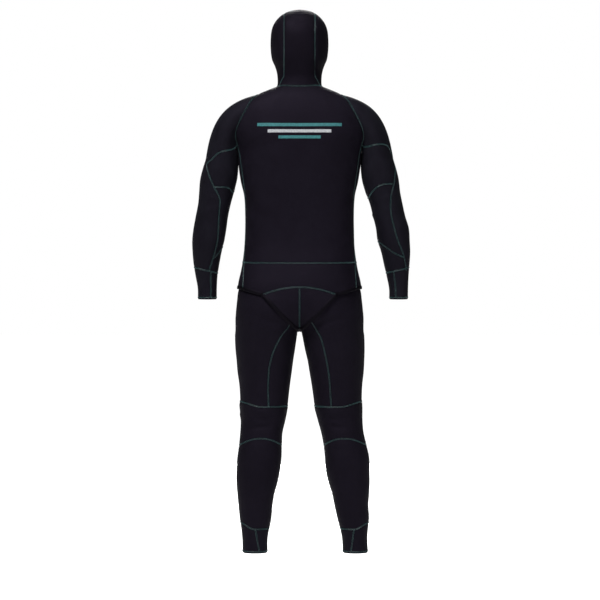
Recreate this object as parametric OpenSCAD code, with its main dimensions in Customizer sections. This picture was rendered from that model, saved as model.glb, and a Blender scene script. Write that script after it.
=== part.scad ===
// Two-piece hooded wetsuit: a hooded jacket with a beaver tail, worn over trousers.
// +Z is up, the wearer faces -Y, and +X is the wearer's left side.
// All heights below are above the wearer's sole; the model's origin is at origin_h.

/* [Sheet] */
// Thickness of the neoprene sheet
sheet = 5; // [3:0.5:6]
// Gap left between two panels at a sewn seam
seam_gap = 0.6; // [0.4:0.1:1.2]
// Thickness of the glued-on chest pad
pad_t = 2.5; // [1.5:0.5:3]
// Thickness of the smooth-skin wrist and ankle seals
seal_t = 2.5; // [1.5:0.5:3]

/* [Heights above the sole] */
// Shoulder yoke that carries the suit, the origin of the part
origin_h = 1500; // [1490:1:1510]
// Seam between hood and jacket at the side of the neck
neck_h = 1550; // [1546:1:1552]
// Lowest point of the armhole
armpit_h = 1375; // [1370:1:1378]
// Top of the armhole
shoulder_h = 1530; // [1528:1:1532]
// Seam round the waist of the jacket
waist_h = 1017; // [1005:1:1030]
// Straight part of the jacket hem
hem_h = 936; // [932:1:940]
// Knee centre
knee_h = 520; // [518:1:522]
// Hem of the trousers at the ankle
ankle_hem_h = 124; // [120:1:128]
// Hem of the sleeve at the wrist
wrist_hem_h = 908; // [904:1:912]

/* [Turn locks] */
// Distance of each turn lock from the middle
lock_x = 30; // [26:1:32]
// Height of the turn locks
lock_h = 975; // [970:1:980]
// Length of the turn button
button_l = 18; // [16:1:20]
// Height of the turn button when it lies in line with the slot
button_w = 6; // [5:0.5:7]
// Diameter of the turn button's shaft
shaft_d = 4; // [3:0.5:4]

/* [Hidden] */
$fn = 48;

left = 1;
right = -1;
neoprene = [0.11, 0.10, 0.13];
seal_skin = [0.05, 0.05, 0.06];
metal = [0.75, 0.72, 0.66];

// How square each oval section is: 2 is an ellipse
torso_n = 2.4;
limb_n = 2.2;
head_n = 2.2;

// Rows of the jacket body: height, half-width, front and back depth
TORSO = [
    [900, 195, -106, 126], [936, 192, -111, 124], [960, 188, -113, 119],
    [985, 182, -115, 110], [1017, 176, -116, 98], [1060, 171, -116, 88],
    [1100, 169, -115, 85], [1160, 168, -114, 89], [1220, 171, -116, 97],
    [1265, 179, -120, 106], [1320, 184, -124, 116], [1350, 187, -125, 120],
    [1375, 191, -124, 122], [1400, 206, -121, 124], [1425, 214, -116, 124],
    [1450, 213, -109, 122], [1480, 200, -93, 117], [1500, 178, -79, 111],
    [1515, 155, -70, 105], [1530, 126, -60, 97], [1541, 98, -53, 87],
    [1550, 73, -47, 77]
];

// Rows of the hood: height, half-width, front and back depth
HOOD = [
    [1550, 73, -47, 77], [1562, 68, -50, 74], [1587, 68, -66, 73], [1606, 71, -86, 77],
    [1624, 77, -96, 83], [1643, 85, -101, 90], [1680, 89, -104, 98], [1717, 88, -106, 101],
    [1736, 85, -102, 98], [1755, 77, -91, 90], [1773, 62, -70, 74], [1785, 45, -48, 56],
    [1792, 27, -26, 36], [1795.5, 5, -2, 12]
];

// Half-width of the back and chest panels: side seam first, armhole from the armpit up
PANEL_EDGE = [
    [900, 176], [1017, 171], [1100, 167], [1160, 166], [1220, 167], [1265, 172],
    [1320, 177], [1350, 181], [1375, 189], [1402, 196], [1425, 193], [1450, 182],
    [1480, 165], [1500, 153], [1515, 141], [1530, 126]
];

// Rows of a sleeve: height, half-width, front and back depth
ARM = [
    [908, 29, -44, 14], [936, 29.5, -44.5, 14.5], [973, 34, -48, 19], [1011, 40, -52, 28],
    [1048, 45, -54, 38], [1085, 50, -54, 46], [1122, 51, -50, 50], [1159, 50, -46, 53],
    [1197, 50.5, -49, 56], [1234, 54, -54, 59], [1271, 57, -56, 63], [1300, 54.5, -55, 65],
    [1335, 48.5, -52, 66]
];
// Distance of a sleeve's centre line from the middle plane, for the left and right arm
ARM_X = [
    [908, 286, 307], [936, 286, 307], [973, 288, 304], [1011, 288, 301], [1048, 286, 298],
    [1085, 282, 291], [1122, 277, 287], [1159, 271, 277], [1197, 263, 268],
    [1234, 256, 257], [1271, 250, 250], [1300, 245, 245], [1335, 239, 239]
];
// Angle of the outer sleeve seam round the arm: 0 is outward, 90 is to the back
SLEEVE_SEAM = [
    [985, 100], [1038, 120], [1085, 124], [1128, 120], [1175, 113], [1209, 106],
    [1237, 90], [1268, 71], [1299, 50], [1335, 24]
];

// Rows of a trouser leg and hip: height, half-width, front and back depth
LEG = [
    [124, 39, -24, 54], [160, 39.5, -24.5, 54.5], [189, 43, -26, 58], [227, 49, -27, 62],
    [267, 52.5, -29, 68], [304, 57.5, -31, 74], [341, 64, -33, 79], [378, 67.5, -36, 82],
    [415, 68, -40, 82], [453, 66, -46, 77], [490, 65, -54, 70], [527, 68.5, -60, 66],
    [564, 73.5, -64, 68], [601, 75.5, -69, 72], [639, 79, -75, 76], [676, 84, -81, 81],
    [713, 88, -88, 87], [750, 93, -94, 94], [787, 96, -97, 101], [804, 96.5, -98, 105],
    [818, 99, -99, 108], [843, 108, -101, 114], [870, 122, -103, 118],
    [900, 145, -105, 119], [925, 168, -105, 118], [945, 184, -105, 115]
];
// Distance of a leg's centre line from the middle plane, for the left and right leg
LEG_X = [
    [124, 138, 173], [160, 138, 171], [189, 137, 169], [227, 136, 166], [267, 136, 161],
    [304, 135, 158], [341, 131, 153], [378, 127, 149], [415, 124, 147], [453, 121, 141],
    [490, 118, 133], [527, 113, 126], [564, 111, 121], [601, 109, 118], [639, 108, 116],
    [676, 108, 115], [713, 107, 113], [750, 106, 109], [787, 104, 105], [804, 102, 102],
    [818, 99, 99], [843, 90, 90], [870, 74, 74], [900, 48, 48], [925, 22, 22], [945, 0, 0]
];
// Angle of the seam down the back of the thigh
THIGH_SEAM = [
    [570, 101], [604, 98], [651, 97], [704, 99], [747, 105], [792, 117], [821, 128]
];
crotch_h = 818;
seat_bottom_h = 700;
seat_top_h = 930;
knee_top_h = knee_h + 53;
knee_top_rise = 14;
knee_low_h = knee_h - 44;
knee_low_drop = 24;
ankle_seam_h = 194;
ankle_seam_rise = 18;
cap_h = 1335;
elbow_top_h = 1240;
elbow_low_h = 1095;
cuff_h = 992;
neck_zone_h = 1612;
strip_x = 48;
crown_h = 1780;
chin_x = 48;
// Centre of the head, and the angles round it at which the centre panel ends: 0 is back
head_y = -2;
head_h = 1690;
nape_angle = -43;
brow_angle = 155;
// Face opening: height of its centre, half-width, half-height and bead radius
opening_h = 1670;
opening_w = 60;
opening_r = 63;
bead_r = 3.2;
// Angle of the front sleeve seam
front_seam = -80;
// Half-angle left open at each side of the trousers' high waist, and its top
waist_gap = 2;
waist_top_h = 1070;

// Seals: outer radius, length, and depth of the axis in the limb
wrist_seal_r = 23.2;
wrist_seal_l = 27;
wrist_seal_y = -15;
ankle_seal_r = 32.6;
ankle_seal_l = 30;
ankle_seal_y = 15;

// Turn locks: faces of the base, the flap and the button, from back to front
base_y = -116.4;
flap_mid_y = -122;
flap_front_y = -123.6;
button_y = -126;
plate_t = 1.2;
post_d = 7;
post_l = 9.2;
bore_floor = 3;
bore_play = 0.1;
button_t = 3;
stem_l = 7;
slot_margin = 8;
eyelet_margin = 7;
eyelet_rim = 16;

// Free edge of the tail from the crotch to the hem: fraction, distance out, height
TAIL_EDGE = [
    [0, 0, 812], [0.08, 10, 814], [0.25, 32, 834], [0.45, 58, 858], [0.65, 82, 885],
    [0.88, 106, 910], [1, 118, 918]
];
arc_top_h = 944;
arc_drop = 26;
tail_w = 118;
tail_off = 7.6;
// Tail strip under the crotch, from back to front: depth, height, half-width
GUSSET = [
    [62, 813, 10], [50, 808, 9], [32, 804, 6], [8, 803, 4.5], [-20, 804, 5],
    [-42, 808, 7], [-60, 815, 11], [-76, 825, 17], [-92, 839, 24], [-101, 853, 30]
];
// Tail flap up the front: depth, height, half-width
FLAP = [
    [-104.5, 856, 31], [-111, 880, 40], [-116.5, 905, 48], [-120.5, 930, 53],
    [-122.5, 955, 54], [-123.5, 980, 54], [-124, 1000, 52], [-124, 1010, 46]
];

function mix(a, b, t) = a + (b - a)*t;
function ease(t) = let (u = min(max(t, 0), 1)) u*u*(3 - 2*u);
function steps(n) = [for (i = [0:n]) i/n];
function powr(v, e) = sign(v)*pow(abs(v), e);

// Smooth reading of a table whose rows start with a rising key
function row_at(table, key, i = 0) =
    i >= len(table) - 2 || key <= table[i + 1][0] ? i : row_at(table, key, i + 1);
function row_slope(table, i) =
    let (a = table[max(i - 1, 0)], b = table[min(i + 1, len(table) - 1)])
    (b - a)/(b[0] - a[0]);
function at(table, key_in) =
    let (
        key = min(max(key_in, table[0][0]), table[len(table) - 1][0]),
        i = row_at(table, key),
        a = table[i],
        b = table[i + 1],
        run = b[0] - a[0],
        t = (key - a[0])/run
    )
    a*(1 - 3*t*t + 2*t*t*t) + row_slope(table, i)*run*(t - 2*t*t + t*t*t)
    + b*(3*t*t - 2*t*t*t) + row_slope(table, i + 1)*run*(t*t*t - t*t);

// Point at angle phi on an oval section of half-width w between depths f and b
function oval(w, f, b, n, phi) =
    [w*powr(cos(phi), 2/n), (f + b)/2 + (b - f)/2*powr(sin(phi), 2/n)];
function angle_at(w, x, n) = acos(pow(min(abs(x)/w, 1), n/2));

// Jacket body; the rows near the neck dip at the front
function neck_dip(h) = ease((h - 1400)/150)*(1 - ease((h - neck_h)/60));
function dip_at(phi) = 29*sin(phi) - 21*sin(phi)*sin(phi);
function body_point(table, n, phi, h, out = 0) =
    let (r = at(table, h), p = oval(r[1] + out, r[2] - out, r[3] + out, n, phi))
    [p.x, p.y, h + neck_dip(h)*dip_at(phi)];
function torso_point(phi, h, out = 0) = body_point(TORSO, torso_n, phi, h, out);
function hood_point(phi, h, out = 0) = body_point(HOOD, head_n, phi, h, out);
function edge_angle(h) =
    h >= shoulder_h ? 0 : angle_at(at(TORSO, h)[1], at(PANEL_EDGE, h)[1], torso_n);

function limb_point(table, xs, side, phi, h) =
    let (r = at(table, h), c = at(xs, h), p = oval(r[1], r[2], r[3], limb_n, phi))
    [side*(c[side == left ? 1 : 2] + p.x), p.y, h];
function arm_point(side, phi, h) = limb_point(ARM, ARM_X, side, phi, h);
function leg_point(side, phi, h) = limb_point(LEG, LEG_X, side, phi, h);

// Edge of the armhole and the cap surface from it to the sleeve
function armhole_point(side, phi) =
    let (
        h = (shoulder_h + armpit_h)/2 + (shoulder_h - armpit_h)/2*cos(phi),
        a = edge_angle(h)*(sin(phi) >= 0 ? 1 : -1),
        p = torso_point(a, h)
    )
    [side*p.x, p.y, p.z];
function cap_point(side, phi, t) =
    let (
        c = cos(phi),
        s = sin(phi),
        a = armhole_point(side, phi),
        b = arm_point(side, phi, cap_h),
        out = [side*(100 + 162.5*c + 67.5*c*c), 20*s, -80 - 15*c + 25*c*c],
        down = [side*(10 + 12.5*c + 2.5*c*c), -15*s, -130 - 145*c - 55*c*c]
    )
    a*(1 - 3*t*t + 2*t*t*t) + out*(t - 2*t*t + t*t*t)
    + b*(3*t*t - 2*t*t*t) + down*(t*t*t - t*t);

// Where a hip section meets the middle plane, or the inseam below the crotch
function hip_limit(h) =
    h <= crotch_h ? 180 : 180 - angle_at(at(LEG, h)[1], at(LEG_X, h)[1], limb_n);
// Depth of a surface at distance off outside the trousers' back, x from the middle plane
function seat_y(x, h, off) =
    let (
        r = at(LEG, h),
        u = min(abs(x - at(LEG_X, h)[1])/(r[1] + off), 1)
    )
    (r[2] + r[3])/2 + ((r[3] - r[2])/2 + off)*pow(1 - pow(u, limb_n), 1/limb_n);

// Ray from inside the head in the plane of one x, at angle a up from the back
function in_hood(x, y, h) =
    let (r = at(HOOD, h), m = (r[2] + r[3])/2, d = (r[3] - r[2])/2)
    h < HOOD[len(HOOD) - 1][0] && pow(abs(x)/r[1], head_n) + pow(abs(y - m)/d, head_n) < 1;
function hood_reach(x, a, lo, hi, n) =
    n == 0 ? lo
    : let (m = (lo + hi)/2)
      in_hood(x, head_y + m*cos(a), head_h + m*sin(a))
          ? hood_reach(x, a, m, hi, n - 1)
          : hood_reach(x, a, lo, m, n - 1);
function hood_top_point(x, a) =
    let (r = hood_reach(x, a, 0, 150, 16)) [x, head_y + r*cos(a), head_h + r*sin(a)];

// Pulls the outer rows and columns of a grid in by the given seam distances
function pulled(a, b, d) = a + (b - a)*min(d/max(norm(b - a), 0.01), 0.45);
function inset_rows(g, lo, hi) =
    let (m = len(g) - 1)
    [for (i = [0:m]) [for (j = [0:len(g[0]) - 1])
        i == 0 ? pulled(g[0][j], g[1][j], lo)
        : i == m ? pulled(g[m][j], g[m - 1][j], hi) : g[i][j]]];
function inset_cols(g, lo, hi) =
    let (m = len(g[0]) - 1)
    [for (row = g) [for (j = [0:m])
        j == 0 ? pulled(row[0], row[1], lo)
        : j == m ? pulled(row[m], row[m - 1], hi) : row[j]]];
function reversed(row) = [for (j = [len(row) - 1:-1:0]) row[j]];

// Slope at the first of three points in a row
function slope_of(a, b, c) = 4*b - 3*a - c;
// Outward unit normal of a grid whose rows rise and whose columns turn from +X to +Y
function grid_normal(g, i, j, ring) =
    let (
        m = len(g) - 1,
        n = len(g[0]),
        up = i == 0 ? slope_of(g[0][j], g[1][j], g[2][j])
            : i == m ? -slope_of(g[m][j], g[m - 1][j], g[m - 2][j])
            : g[i + 1][j] - g[i - 1][j],
        across = ring ? g[i][(j + 1) % n] - g[i][(j + n - 1) % n]
            : j == 0 ? slope_of(g[i][0], g[i][1], g[i][2])
            : j == n - 1 ? -slope_of(g[i][n - 1], g[i][n - 2], g[i][n - 3])
            : g[i][j + 1] - g[i][j - 1],
        v = cross(across, up)
    )
    v/norm(v);

// Closed shell of thickness t under a grid of outer points
module shell(g, t, ring) {
    rows = len(g);
    cols = len(g[0]);
    count = rows*cols;
    last = ring ? cols - 1 : cols - 2;
    inner = [for (i = [0:rows - 1]) [for (j = [0:cols - 1])
        g[i][j] - t*grid_normal(g, i, j, ring)]];
    points = concat([for (row = g) each row], [for (row = inner) each row]);
    function id(i, j) = i*cols + j % cols;
    function quad(a, b, c, d) = [[a, b, c], [a, c, d]];
    faces = concat(
        [for (i = [0:rows - 2]) for (j = [0:last]) each concat(
            quad(id(i, j), id(i + 1, j), id(i + 1, j + 1), id(i, j + 1)),
            quad(count + id(i, j), count + id(i, j + 1),
                 count + id(i + 1, j + 1), count + id(i + 1, j))
        )],
        [for (j = [0:last]) each concat(
            quad(id(0, j), id(0, j + 1), count + id(0, j + 1), count + id(0, j)),
            quad(id(rows - 1, j + 1), id(rows - 1, j),
                 count + id(rows - 1, j), count + id(rows - 1, j + 1))
        )],
        ring ? [] : [for (i = [0:rows - 2]) each concat(
            quad(id(i + 1, 0), id(i, 0), count + id(i, 0), count + id(i + 1, 0)),
            quad(id(i, cols - 1), id(i + 1, cols - 1),
                 count + id(i + 1, cols - 1), count + id(i, cols - 1))
        )]
    );
    polyhedron(points, faces);
}

// Neoprene panel; the four insets are bottom, top, first and last column
module panel(g, side = left, ring = false, t = sheet, inset = [1, 1, 1, 1]) {
    cut = inset*seam_gap/2;
    rows_in = inset_rows(g, cut[0], cut[1]);
    all_in = ring ? rows_in : inset_cols(rows_in, cut[2], cut[3]);
    sided = side == left ? all_in : [for (row = all_in) reversed(row)];
    color(neoprene) translate([0, 0, -origin_h]) shell(sided, t, ring);
}

// Heights of the rows between two levels
function levels(lo, hi, n) = [for (u = steps(n)) mix(lo, hi, u)];

// ---- Jacket body ----

// Upper half of the body from the waist to the neck, turned by first degrees
module upper_body(first) {
    rows = concat(levels(waist_h, 1350, 7), levels(armpit_h, 1500, 5),
                  [1515, shoulder_h, 1541, neck_h]);
    panel([for (h = rows) [for (u = steps(12))
        torso_point(first + mix(edge_angle(h), 180 - edge_angle(h), u), h)]],
        inset = [1, 1, 7, 7]);
}

module back_panel() {
    upper_body(0);
}

// Lower edge of the jacket's back at a distance x from the middle
function lumbar_low(x) =
    abs(x) < tail_w ? arc_top_h - arc_drop*pow(x/tail_w, 2)
    : mix(arc_top_h - arc_drop, hem_h, (abs(x) - tail_w)/65);

module lumbar_panel() {
    a = edge_angle(950);
    panel([for (v = steps(4)) [for (u = steps(14))
        let (
            phi = mix(a, 180 - a, u),
            x = torso_point(phi, 930).x,
            h = mix(lumbar_low(x), waist_h, v),
            e = edge_angle(h)
        )
        torso_point(mix(e, 180 - e, u), h)]], inset = [1, 1, 5, 5]);
}

module side_panel(side) {
    rows = concat(levels(hem_h, 1300, 6), [1335, armpit_h - 4]);
    panel([for (h = rows) [for (u = steps(3))
        let (p = torso_point(mix(-edge_angle(h), edge_angle(h), u), h))
        [side*p.x, p.y, p.z]]], side);
}

module chest_panel() {
    upper_body(180);
}

module belly_panel() {
    panel([for (h = levels(hem_h, waist_h, 3)) [for (u = steps(10))
        torso_point(mix(180 + edge_angle(h), 360 - edge_angle(h), u), h)]]);
}

module chest_pad() {
    panel([for (h = levels(1225, 1375, 5)) [for (u = steps(6))
        torso_point(mix(248, 292, u), h, pad_t + 0.6)]], t = pad_t);
}

module trouser_waist(back) {
    first = back ? 0 : 180;
    panel([for (h = levels(seat_top_h + 2, waist_top_h, 4)) [for (u = steps(10))
        torso_point(first + mix(waist_gap, 180 - waist_gap, u), h, -sheet - 3.4)]],
        t = sheet - 1);
}

// ---- Beaver tail ----

// Back surface of the tail, bridging the cleft of the seat
function tail_point(side, q, r) =
    let (
        e = at(TAIL_EDGE, q),
        top = arc_top_h - arc_drop*q*q,
        x = mix(q*tail_w, e[1], r),
        h = mix(top, e[2], r),
        half = max(tail_w*(h - 812)/(918 - 812), 8),
        bridge = sqrt(x*x + pow(0.4*min(half, 60), 2)),
        on_tail = seat_y(bridge, h + 8*ease((885 - h)/55), tail_off),
        on_jacket = torso_point(90, h).y - 0.0012*x*x
    )
    [side*x, mix(on_tail, on_jacket, ease((h - 900)/40)), h];

module tail_panel(side) {
    panel([for (r = [1:-0.125:0]) [for (q = [0.97, 0.86, 0.72, 0.56, 0.4, 0.26, 0.14, 0.01])
        tail_point(side, q, r)]], side, inset = [2, 3, 1, 1]);
}

function strip_grid(path, n) =
    [for (p = path) [for (u = steps(n))
        let (q = 2*u - 1) [q*p[2], p[0] - sign(p[0])*0.001*pow(q*p[2], 2), p[1]]]];

module tail_gusset() {
    panel(strip_grid(GUSSET, 3), t = sheet - 1);
}

// Places its child at a turn lock, facing forward, from depth y
module at_lock(side, y) {
    translate([side*lock_x, y, lock_h - origin_h]) rotate([90, 0, 0]) children();
}

module lock_slots() {
    for (s = [left, right])
        at_lock(s, flap_mid_y)
            linear_extrude(30, center = true)
                square([button_l + slot_margin, button_w + slot_margin], center = true);
}

module tail_flap() {
    difference() {
        panel(strip_grid(FLAP, 4));
        lock_slots();
    }
}

// ---- Turn-lock fasteners ----

module eyelet_plates() {
    hole = eyelet_margin;
    rim = eyelet_rim;
    color(metal)
        for (s = [left, right])
            at_lock(s, flap_front_y)
                linear_extrude(plate_t)
                    difference() {
                        square([button_l + rim, button_w + rim], center = true);
                        square([button_l + hole, button_w + hole], center = true);
                    }
}

module turn_lock_base(side) {
    color(metal)
        at_lock(side, base_y)
            difference() {
                union() {
                    linear_extrude(plate_t)
                        square([button_l + 4, button_w + 6], center = true);
                    cylinder(h = post_l, d = post_d);
                }
                translate([0, 0, bore_floor]) cylinder(h = post_l, d = shaft_d + bore_play);
            }
}

module turn_button(side) {
    end_x = (button_l - button_w)/2;
    color(metal)
        at_lock(side, button_y)
            union() {
                translate([0, 0, 1 - stem_l]) cylinder(h = stem_l, d = shaft_d);
                linear_extrude(button_t)
                    hull()
                        for (x = [-end_x, end_x]) translate([x, 0]) circle(d = button_w);
            }
}

// ---- Hood ----
function opening_x(h) =
    opening_w*sqrt(max(1 - pow((h - opening_h)/opening_r, 2), 0));
function opening_low(x) =
    opening_h - opening_r*sqrt(max(1 - pow(x/opening_w, 2), 0));
// Angle on the front of the hood's section at height h where the distance out is x
function front_angle(x, h) =
    let (a = angle_at(at(HOOD, h)[1], x, head_n)) x >= 0 ? 360 - a : 180 + a;

module hood_neck() {
    panel([for (h = levels(neck_h, neck_zone_h, 4)) [for (u = steps(16))
        hood_point(mix(front_angle(chin_x, h) - 360, front_angle(-chin_x, h), u), h)]],
        inset = [5, 1, 1, 1]);
}

module hood_chin_panel() {
    panel([for (v = steps(4)) [for (u = steps(6))
        let (
            x = mix(-chin_x, chin_x, u),
            h = mix(neck_h, opening_low(x) - 5, v)
        )
        hood_point(front_angle(x, h), h)]], inset = [5, 1, 4, 4]);
}

module hood_centre_panel() {
    panel([for (v = steps(18)) [for (u = steps(5))
        hood_top_point(mix(strip_x, -strip_x, u), mix(nape_angle, brow_angle, v))]]);
}

module hood_side(side) {
    rows = concat(levels(neck_zone_h, 1750, 7), [1765, 1774, crown_h]);
    panel([for (h = rows) [for (u = steps(8))
        let (
            w = at(HOOD, h)[1],
            front = -angle_at(w, max(strip_x + 1, opening_x(h) + 4), head_n),
            back = angle_at(w, strip_x + 1, head_n),
            p = hood_point(mix(front, back, u), h)
        )
        [side*p.x, p.y, p.z]]], side);
}

// Round edge of the face opening
module face_seal() {
    count = 28;
    sides = 6;
    function edge(a) =
        let (
            h = opening_h + (opening_r - 4)*sin(a),
            x = (opening_w - 4)*cos(a),
            r = at(HOOD, h),
            y = (r[2] + r[3])/2 - (r[3] - r[2])/2*pow(1 - pow(abs(x)/r[1], head_n), 1/head_n)
        )
        [x, y + sheet/2, h];
    points = [for (i = [0:count - 1]) for (k = [0:sides - 1])
        let (a = i*360/count, b = k*360/sides, out = [cos(a), 0, sin(a)])
        edge(a) + bead_r*cos(b)*out + [0, bead_r*sin(b), 0]];
    faces = [for (i = [0:count - 1]) for (k = [0:sides - 1])
        let (
            i1 = (i + 1) % count,
            k1 = (k + 1) % sides,
            a = i*sides + k, b = i1*sides + k, c = i1*sides + k1, d = i*sides + k1
        )
        each [[a, b, c], [a, c, d]]];
    color(seal_skin) translate([0, 0, -origin_h]) polyhedron(points, faces);
}

// ---- Sleeves ----

module shoulder(side) {
    panel([for (t = [1, 0.9, 0.75, 0.6, 0.45, 0.3, 0.15, 0]) [for (j = [0:23])
        cap_point(side, j*15, t)]], side, ring = true, inset = [1, 14, 0, 0]);
}

function seam_angle(h) = at(SLEEVE_SEAM, h)[1];

module sleeve_part(side, lo, hi, inner, rows) {
    panel([for (h = levels(lo, hi, rows)) [for (u = steps(9))
        let (s = seam_angle(h))
        arm_point(side, inner ? mix(s, 360 + front_seam, u) : mix(front_seam, s, u), h)]],
        side);
}

module elbow(side) {
    panel([for (h = levels(elbow_low_h, elbow_top_h, 6)) [for (j = [0:17])
        arm_point(side, j*20, h)]], side, ring = true);
}

module cuff(side) {
    panel([for (h = levels(wrist_hem_h, cuff_h, 3)) [for (j = [0:19])
        arm_point(side, j*18, h)]], side, ring = true, inset = [0, 1, 0, 0]);
}

module round_seal(x, y, h, r, l) {
    color(seal_skin)
        translate([x, y, h - origin_h])
            difference() {
                cylinder(h = l, r = r);
                translate([0, 0, -1]) cylinder(h = l + 2, r = r - seal_t);
            }
}

module wrist_seal(side) {
    x = ARM_X[0][side == left ? 1 : 2];
    round_seal(side*x, wrist_seal_y, wrist_hem_h + 1, wrist_seal_r, wrist_seal_l);
}

// ---- Trousers ----

module seat(side) {
    rows = [seat_bottom_h, 730, 760, 784, 802, crotch_h, 822, 830, 843, 858, 876, 900,
            seat_top_h - 12, seat_top_h];
    panel([for (h = rows) [for (u = steps(22))
        leg_point(side, mix(-hip_limit(h), hip_limit(h), u), h)]], side,
        inset = [1, 1, 3, 3]);
}

function thigh_angle(h) = at(THIGH_SEAM, h)[1];
// Seam above the knee rises to the outer side
function knee_top(phi) = knee_top_h + knee_top_rise*ease(cos(phi));
// Seam below the knee arches up at the middle of the back
function knee_low(phi) =
    knee_low_h - knee_low_drop*(sin(phi) > 0 ? pow(cos(phi), 2) : 1);

module thigh_part(side, inner) {
    panel([for (v = steps(5)) [for (u = steps(9))
        let (
            a = inner ? mix(100, 270, u) : mix(-90, 100, u),
            h = mix(knee_top(a), seat_bottom_h, v),
            s = thigh_angle(h)
        )
        leg_point(side, inner ? mix(s, 270, u) : mix(-90, s, u), h)]], side);
}

module knee_part(side, back) {
    first = back ? 0 : 180;
    panel([for (v = steps(4)) [for (u = steps(9))
        let (phi = first + 180*u)
        leg_point(side, phi, mix(knee_low(phi), knee_top(phi), v))]], side);
}

function ankle_seam(phi) = ankle_seam_h + ankle_seam_rise*ease(cos(phi));

module shank_part(side, back) {
    first = back ? 0 : 180;
    panel([for (v = steps(8)) [for (u = steps(9))
        let (phi = first + 180*u)
        leg_point(side, phi, mix(ankle_seam(phi), knee_low(phi), v))]], side);
}

module ankle_cuff(side) {
    panel([for (v = steps(3)) [for (j = [0:17])
        leg_point(side, j*20, mix(ankle_hem_h, ankle_seam(j*20), v))]], side,
        ring = true, inset = [0, 1, 0, 0]);
}

module ankle_seal(side) {
    x = round(at(LEG_X, ankle_hem_h + ankle_seal_l/2)[side == left ? 1 : 2]);
    round_seal(side*x, ankle_seal_y, ankle_hem_h + 1, ankle_seal_r, ankle_seal_l);
}

back_panel();
lumbar_panel();
side_panel(left);  // side_panel_left
side_panel(right);  // side_panel_right
chest_panel();
belly_panel();
chest_pad();
tail_panel(left);  // tail_panel_left
tail_panel(right);  // tail_panel_right
tail_gusset();
tail_flap();
eyelet_plates();
turn_lock_base(left);  // turn_lock_base_left
turn_lock_base(right);  // turn_lock_base_right
turn_button(left);  // turn_button_left
turn_button(right);  // turn_button_right
trouser_waist(false);  // trouser_waist_front
trouser_waist(true);  // trouser_waist_back
hood_neck();
hood_chin_panel();
hood_centre_panel();
hood_side(left);  // hood_side_left
hood_side(right);  // hood_side_right
face_seal();
shoulder(left);  // shoulder_left
sleeve_part(left, elbow_top_h, cap_h, false, 4);  // sleeve_outer_left
sleeve_part(left, elbow_top_h, cap_h, true, 4);  // sleeve_inner_left
elbow(left);  // elbow_left
sleeve_part(left, cuff_h, elbow_low_h, false, 4);  // forearm_outer_left
sleeve_part(left, cuff_h, elbow_low_h, true, 4);  // forearm_inner_left
cuff(left);  // cuff_left
wrist_seal(left);  // wrist_seal_left
shoulder(right);  // shoulder_right
sleeve_part(right, elbow_top_h, cap_h, false, 4);  // sleeve_outer_right
sleeve_part(right, elbow_top_h, cap_h, true, 4);  // sleeve_inner_right
elbow(right);  // elbow_right
sleeve_part(right, cuff_h, elbow_low_h, false, 4);  // forearm_outer_right
sleeve_part(right, cuff_h, elbow_low_h, true, 4);  // forearm_inner_right
cuff(right);  // cuff_right
wrist_seal(right);  // wrist_seal_right
seat(left);  // seat_left
thigh_part(left, false);  // thigh_outer_left
thigh_part(left, true);  // thigh_inner_left
knee_part(left, true);  // knee_back_left
knee_part(left, false);  // knee_pad_left
shank_part(left, true);  // calf_panel_left
shank_part(left, false);  // shin_panel_left
ankle_cuff(left);  // ankle_cuff_left
ankle_seal(left);  // ankle_seal_left
seat(right);  // seat_right
thigh_part(right, false);  // thigh_outer_right
thigh_part(right, true);  // thigh_inner_right
knee_part(right, true);  // knee_back_right
knee_part(right, false);  // knee_pad_right
shank_part(right, true);  // calf_panel_right
shank_part(right, false);  // shin_panel_right
ankle_cuff(right);  // ankle_cuff_right
ankle_seal(right);  // ankle_seal_right
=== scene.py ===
"""Looks of a two-piece hooded wetsuit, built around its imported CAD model.

Surfaces are worked out in millimetres, with heights above the wearer's sole, as in the CAD
source, and become metres about the origin at the shoulder yoke when a mesh is made.
The wearer faces -Y, and +X is the wearer's left.
"""

import math
from functools import partial

import bpy
import numpy as np
from mathutils import Matrix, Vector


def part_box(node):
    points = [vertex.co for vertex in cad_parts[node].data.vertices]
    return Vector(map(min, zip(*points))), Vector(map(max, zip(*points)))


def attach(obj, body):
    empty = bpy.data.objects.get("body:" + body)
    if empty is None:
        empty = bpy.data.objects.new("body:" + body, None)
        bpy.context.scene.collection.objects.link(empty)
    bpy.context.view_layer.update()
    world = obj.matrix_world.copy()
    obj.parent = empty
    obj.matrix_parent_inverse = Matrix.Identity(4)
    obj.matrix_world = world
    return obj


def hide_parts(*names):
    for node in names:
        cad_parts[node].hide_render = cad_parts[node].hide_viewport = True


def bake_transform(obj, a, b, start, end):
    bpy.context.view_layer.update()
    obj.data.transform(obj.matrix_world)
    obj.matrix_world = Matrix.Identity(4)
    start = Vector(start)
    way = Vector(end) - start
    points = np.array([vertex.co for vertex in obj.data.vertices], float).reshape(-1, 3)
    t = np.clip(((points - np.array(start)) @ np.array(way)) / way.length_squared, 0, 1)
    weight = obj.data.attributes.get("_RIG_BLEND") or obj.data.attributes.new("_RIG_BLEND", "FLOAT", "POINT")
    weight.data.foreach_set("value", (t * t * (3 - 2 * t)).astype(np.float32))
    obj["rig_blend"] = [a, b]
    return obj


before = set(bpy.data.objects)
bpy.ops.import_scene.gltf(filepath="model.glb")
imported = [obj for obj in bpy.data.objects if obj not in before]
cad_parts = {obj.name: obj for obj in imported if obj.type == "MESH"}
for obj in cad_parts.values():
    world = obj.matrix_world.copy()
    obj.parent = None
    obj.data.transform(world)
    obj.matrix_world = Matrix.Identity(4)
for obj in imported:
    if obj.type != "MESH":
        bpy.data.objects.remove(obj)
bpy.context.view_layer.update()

# ---- Sizes ----
# They are the CAD source's, with two differences. The wrist and ankle hems lie 6 mm below its
# cuffs, and the seams down the backs of the sleeves and thighs follow lines of their own.
MM = 0.001
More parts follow.
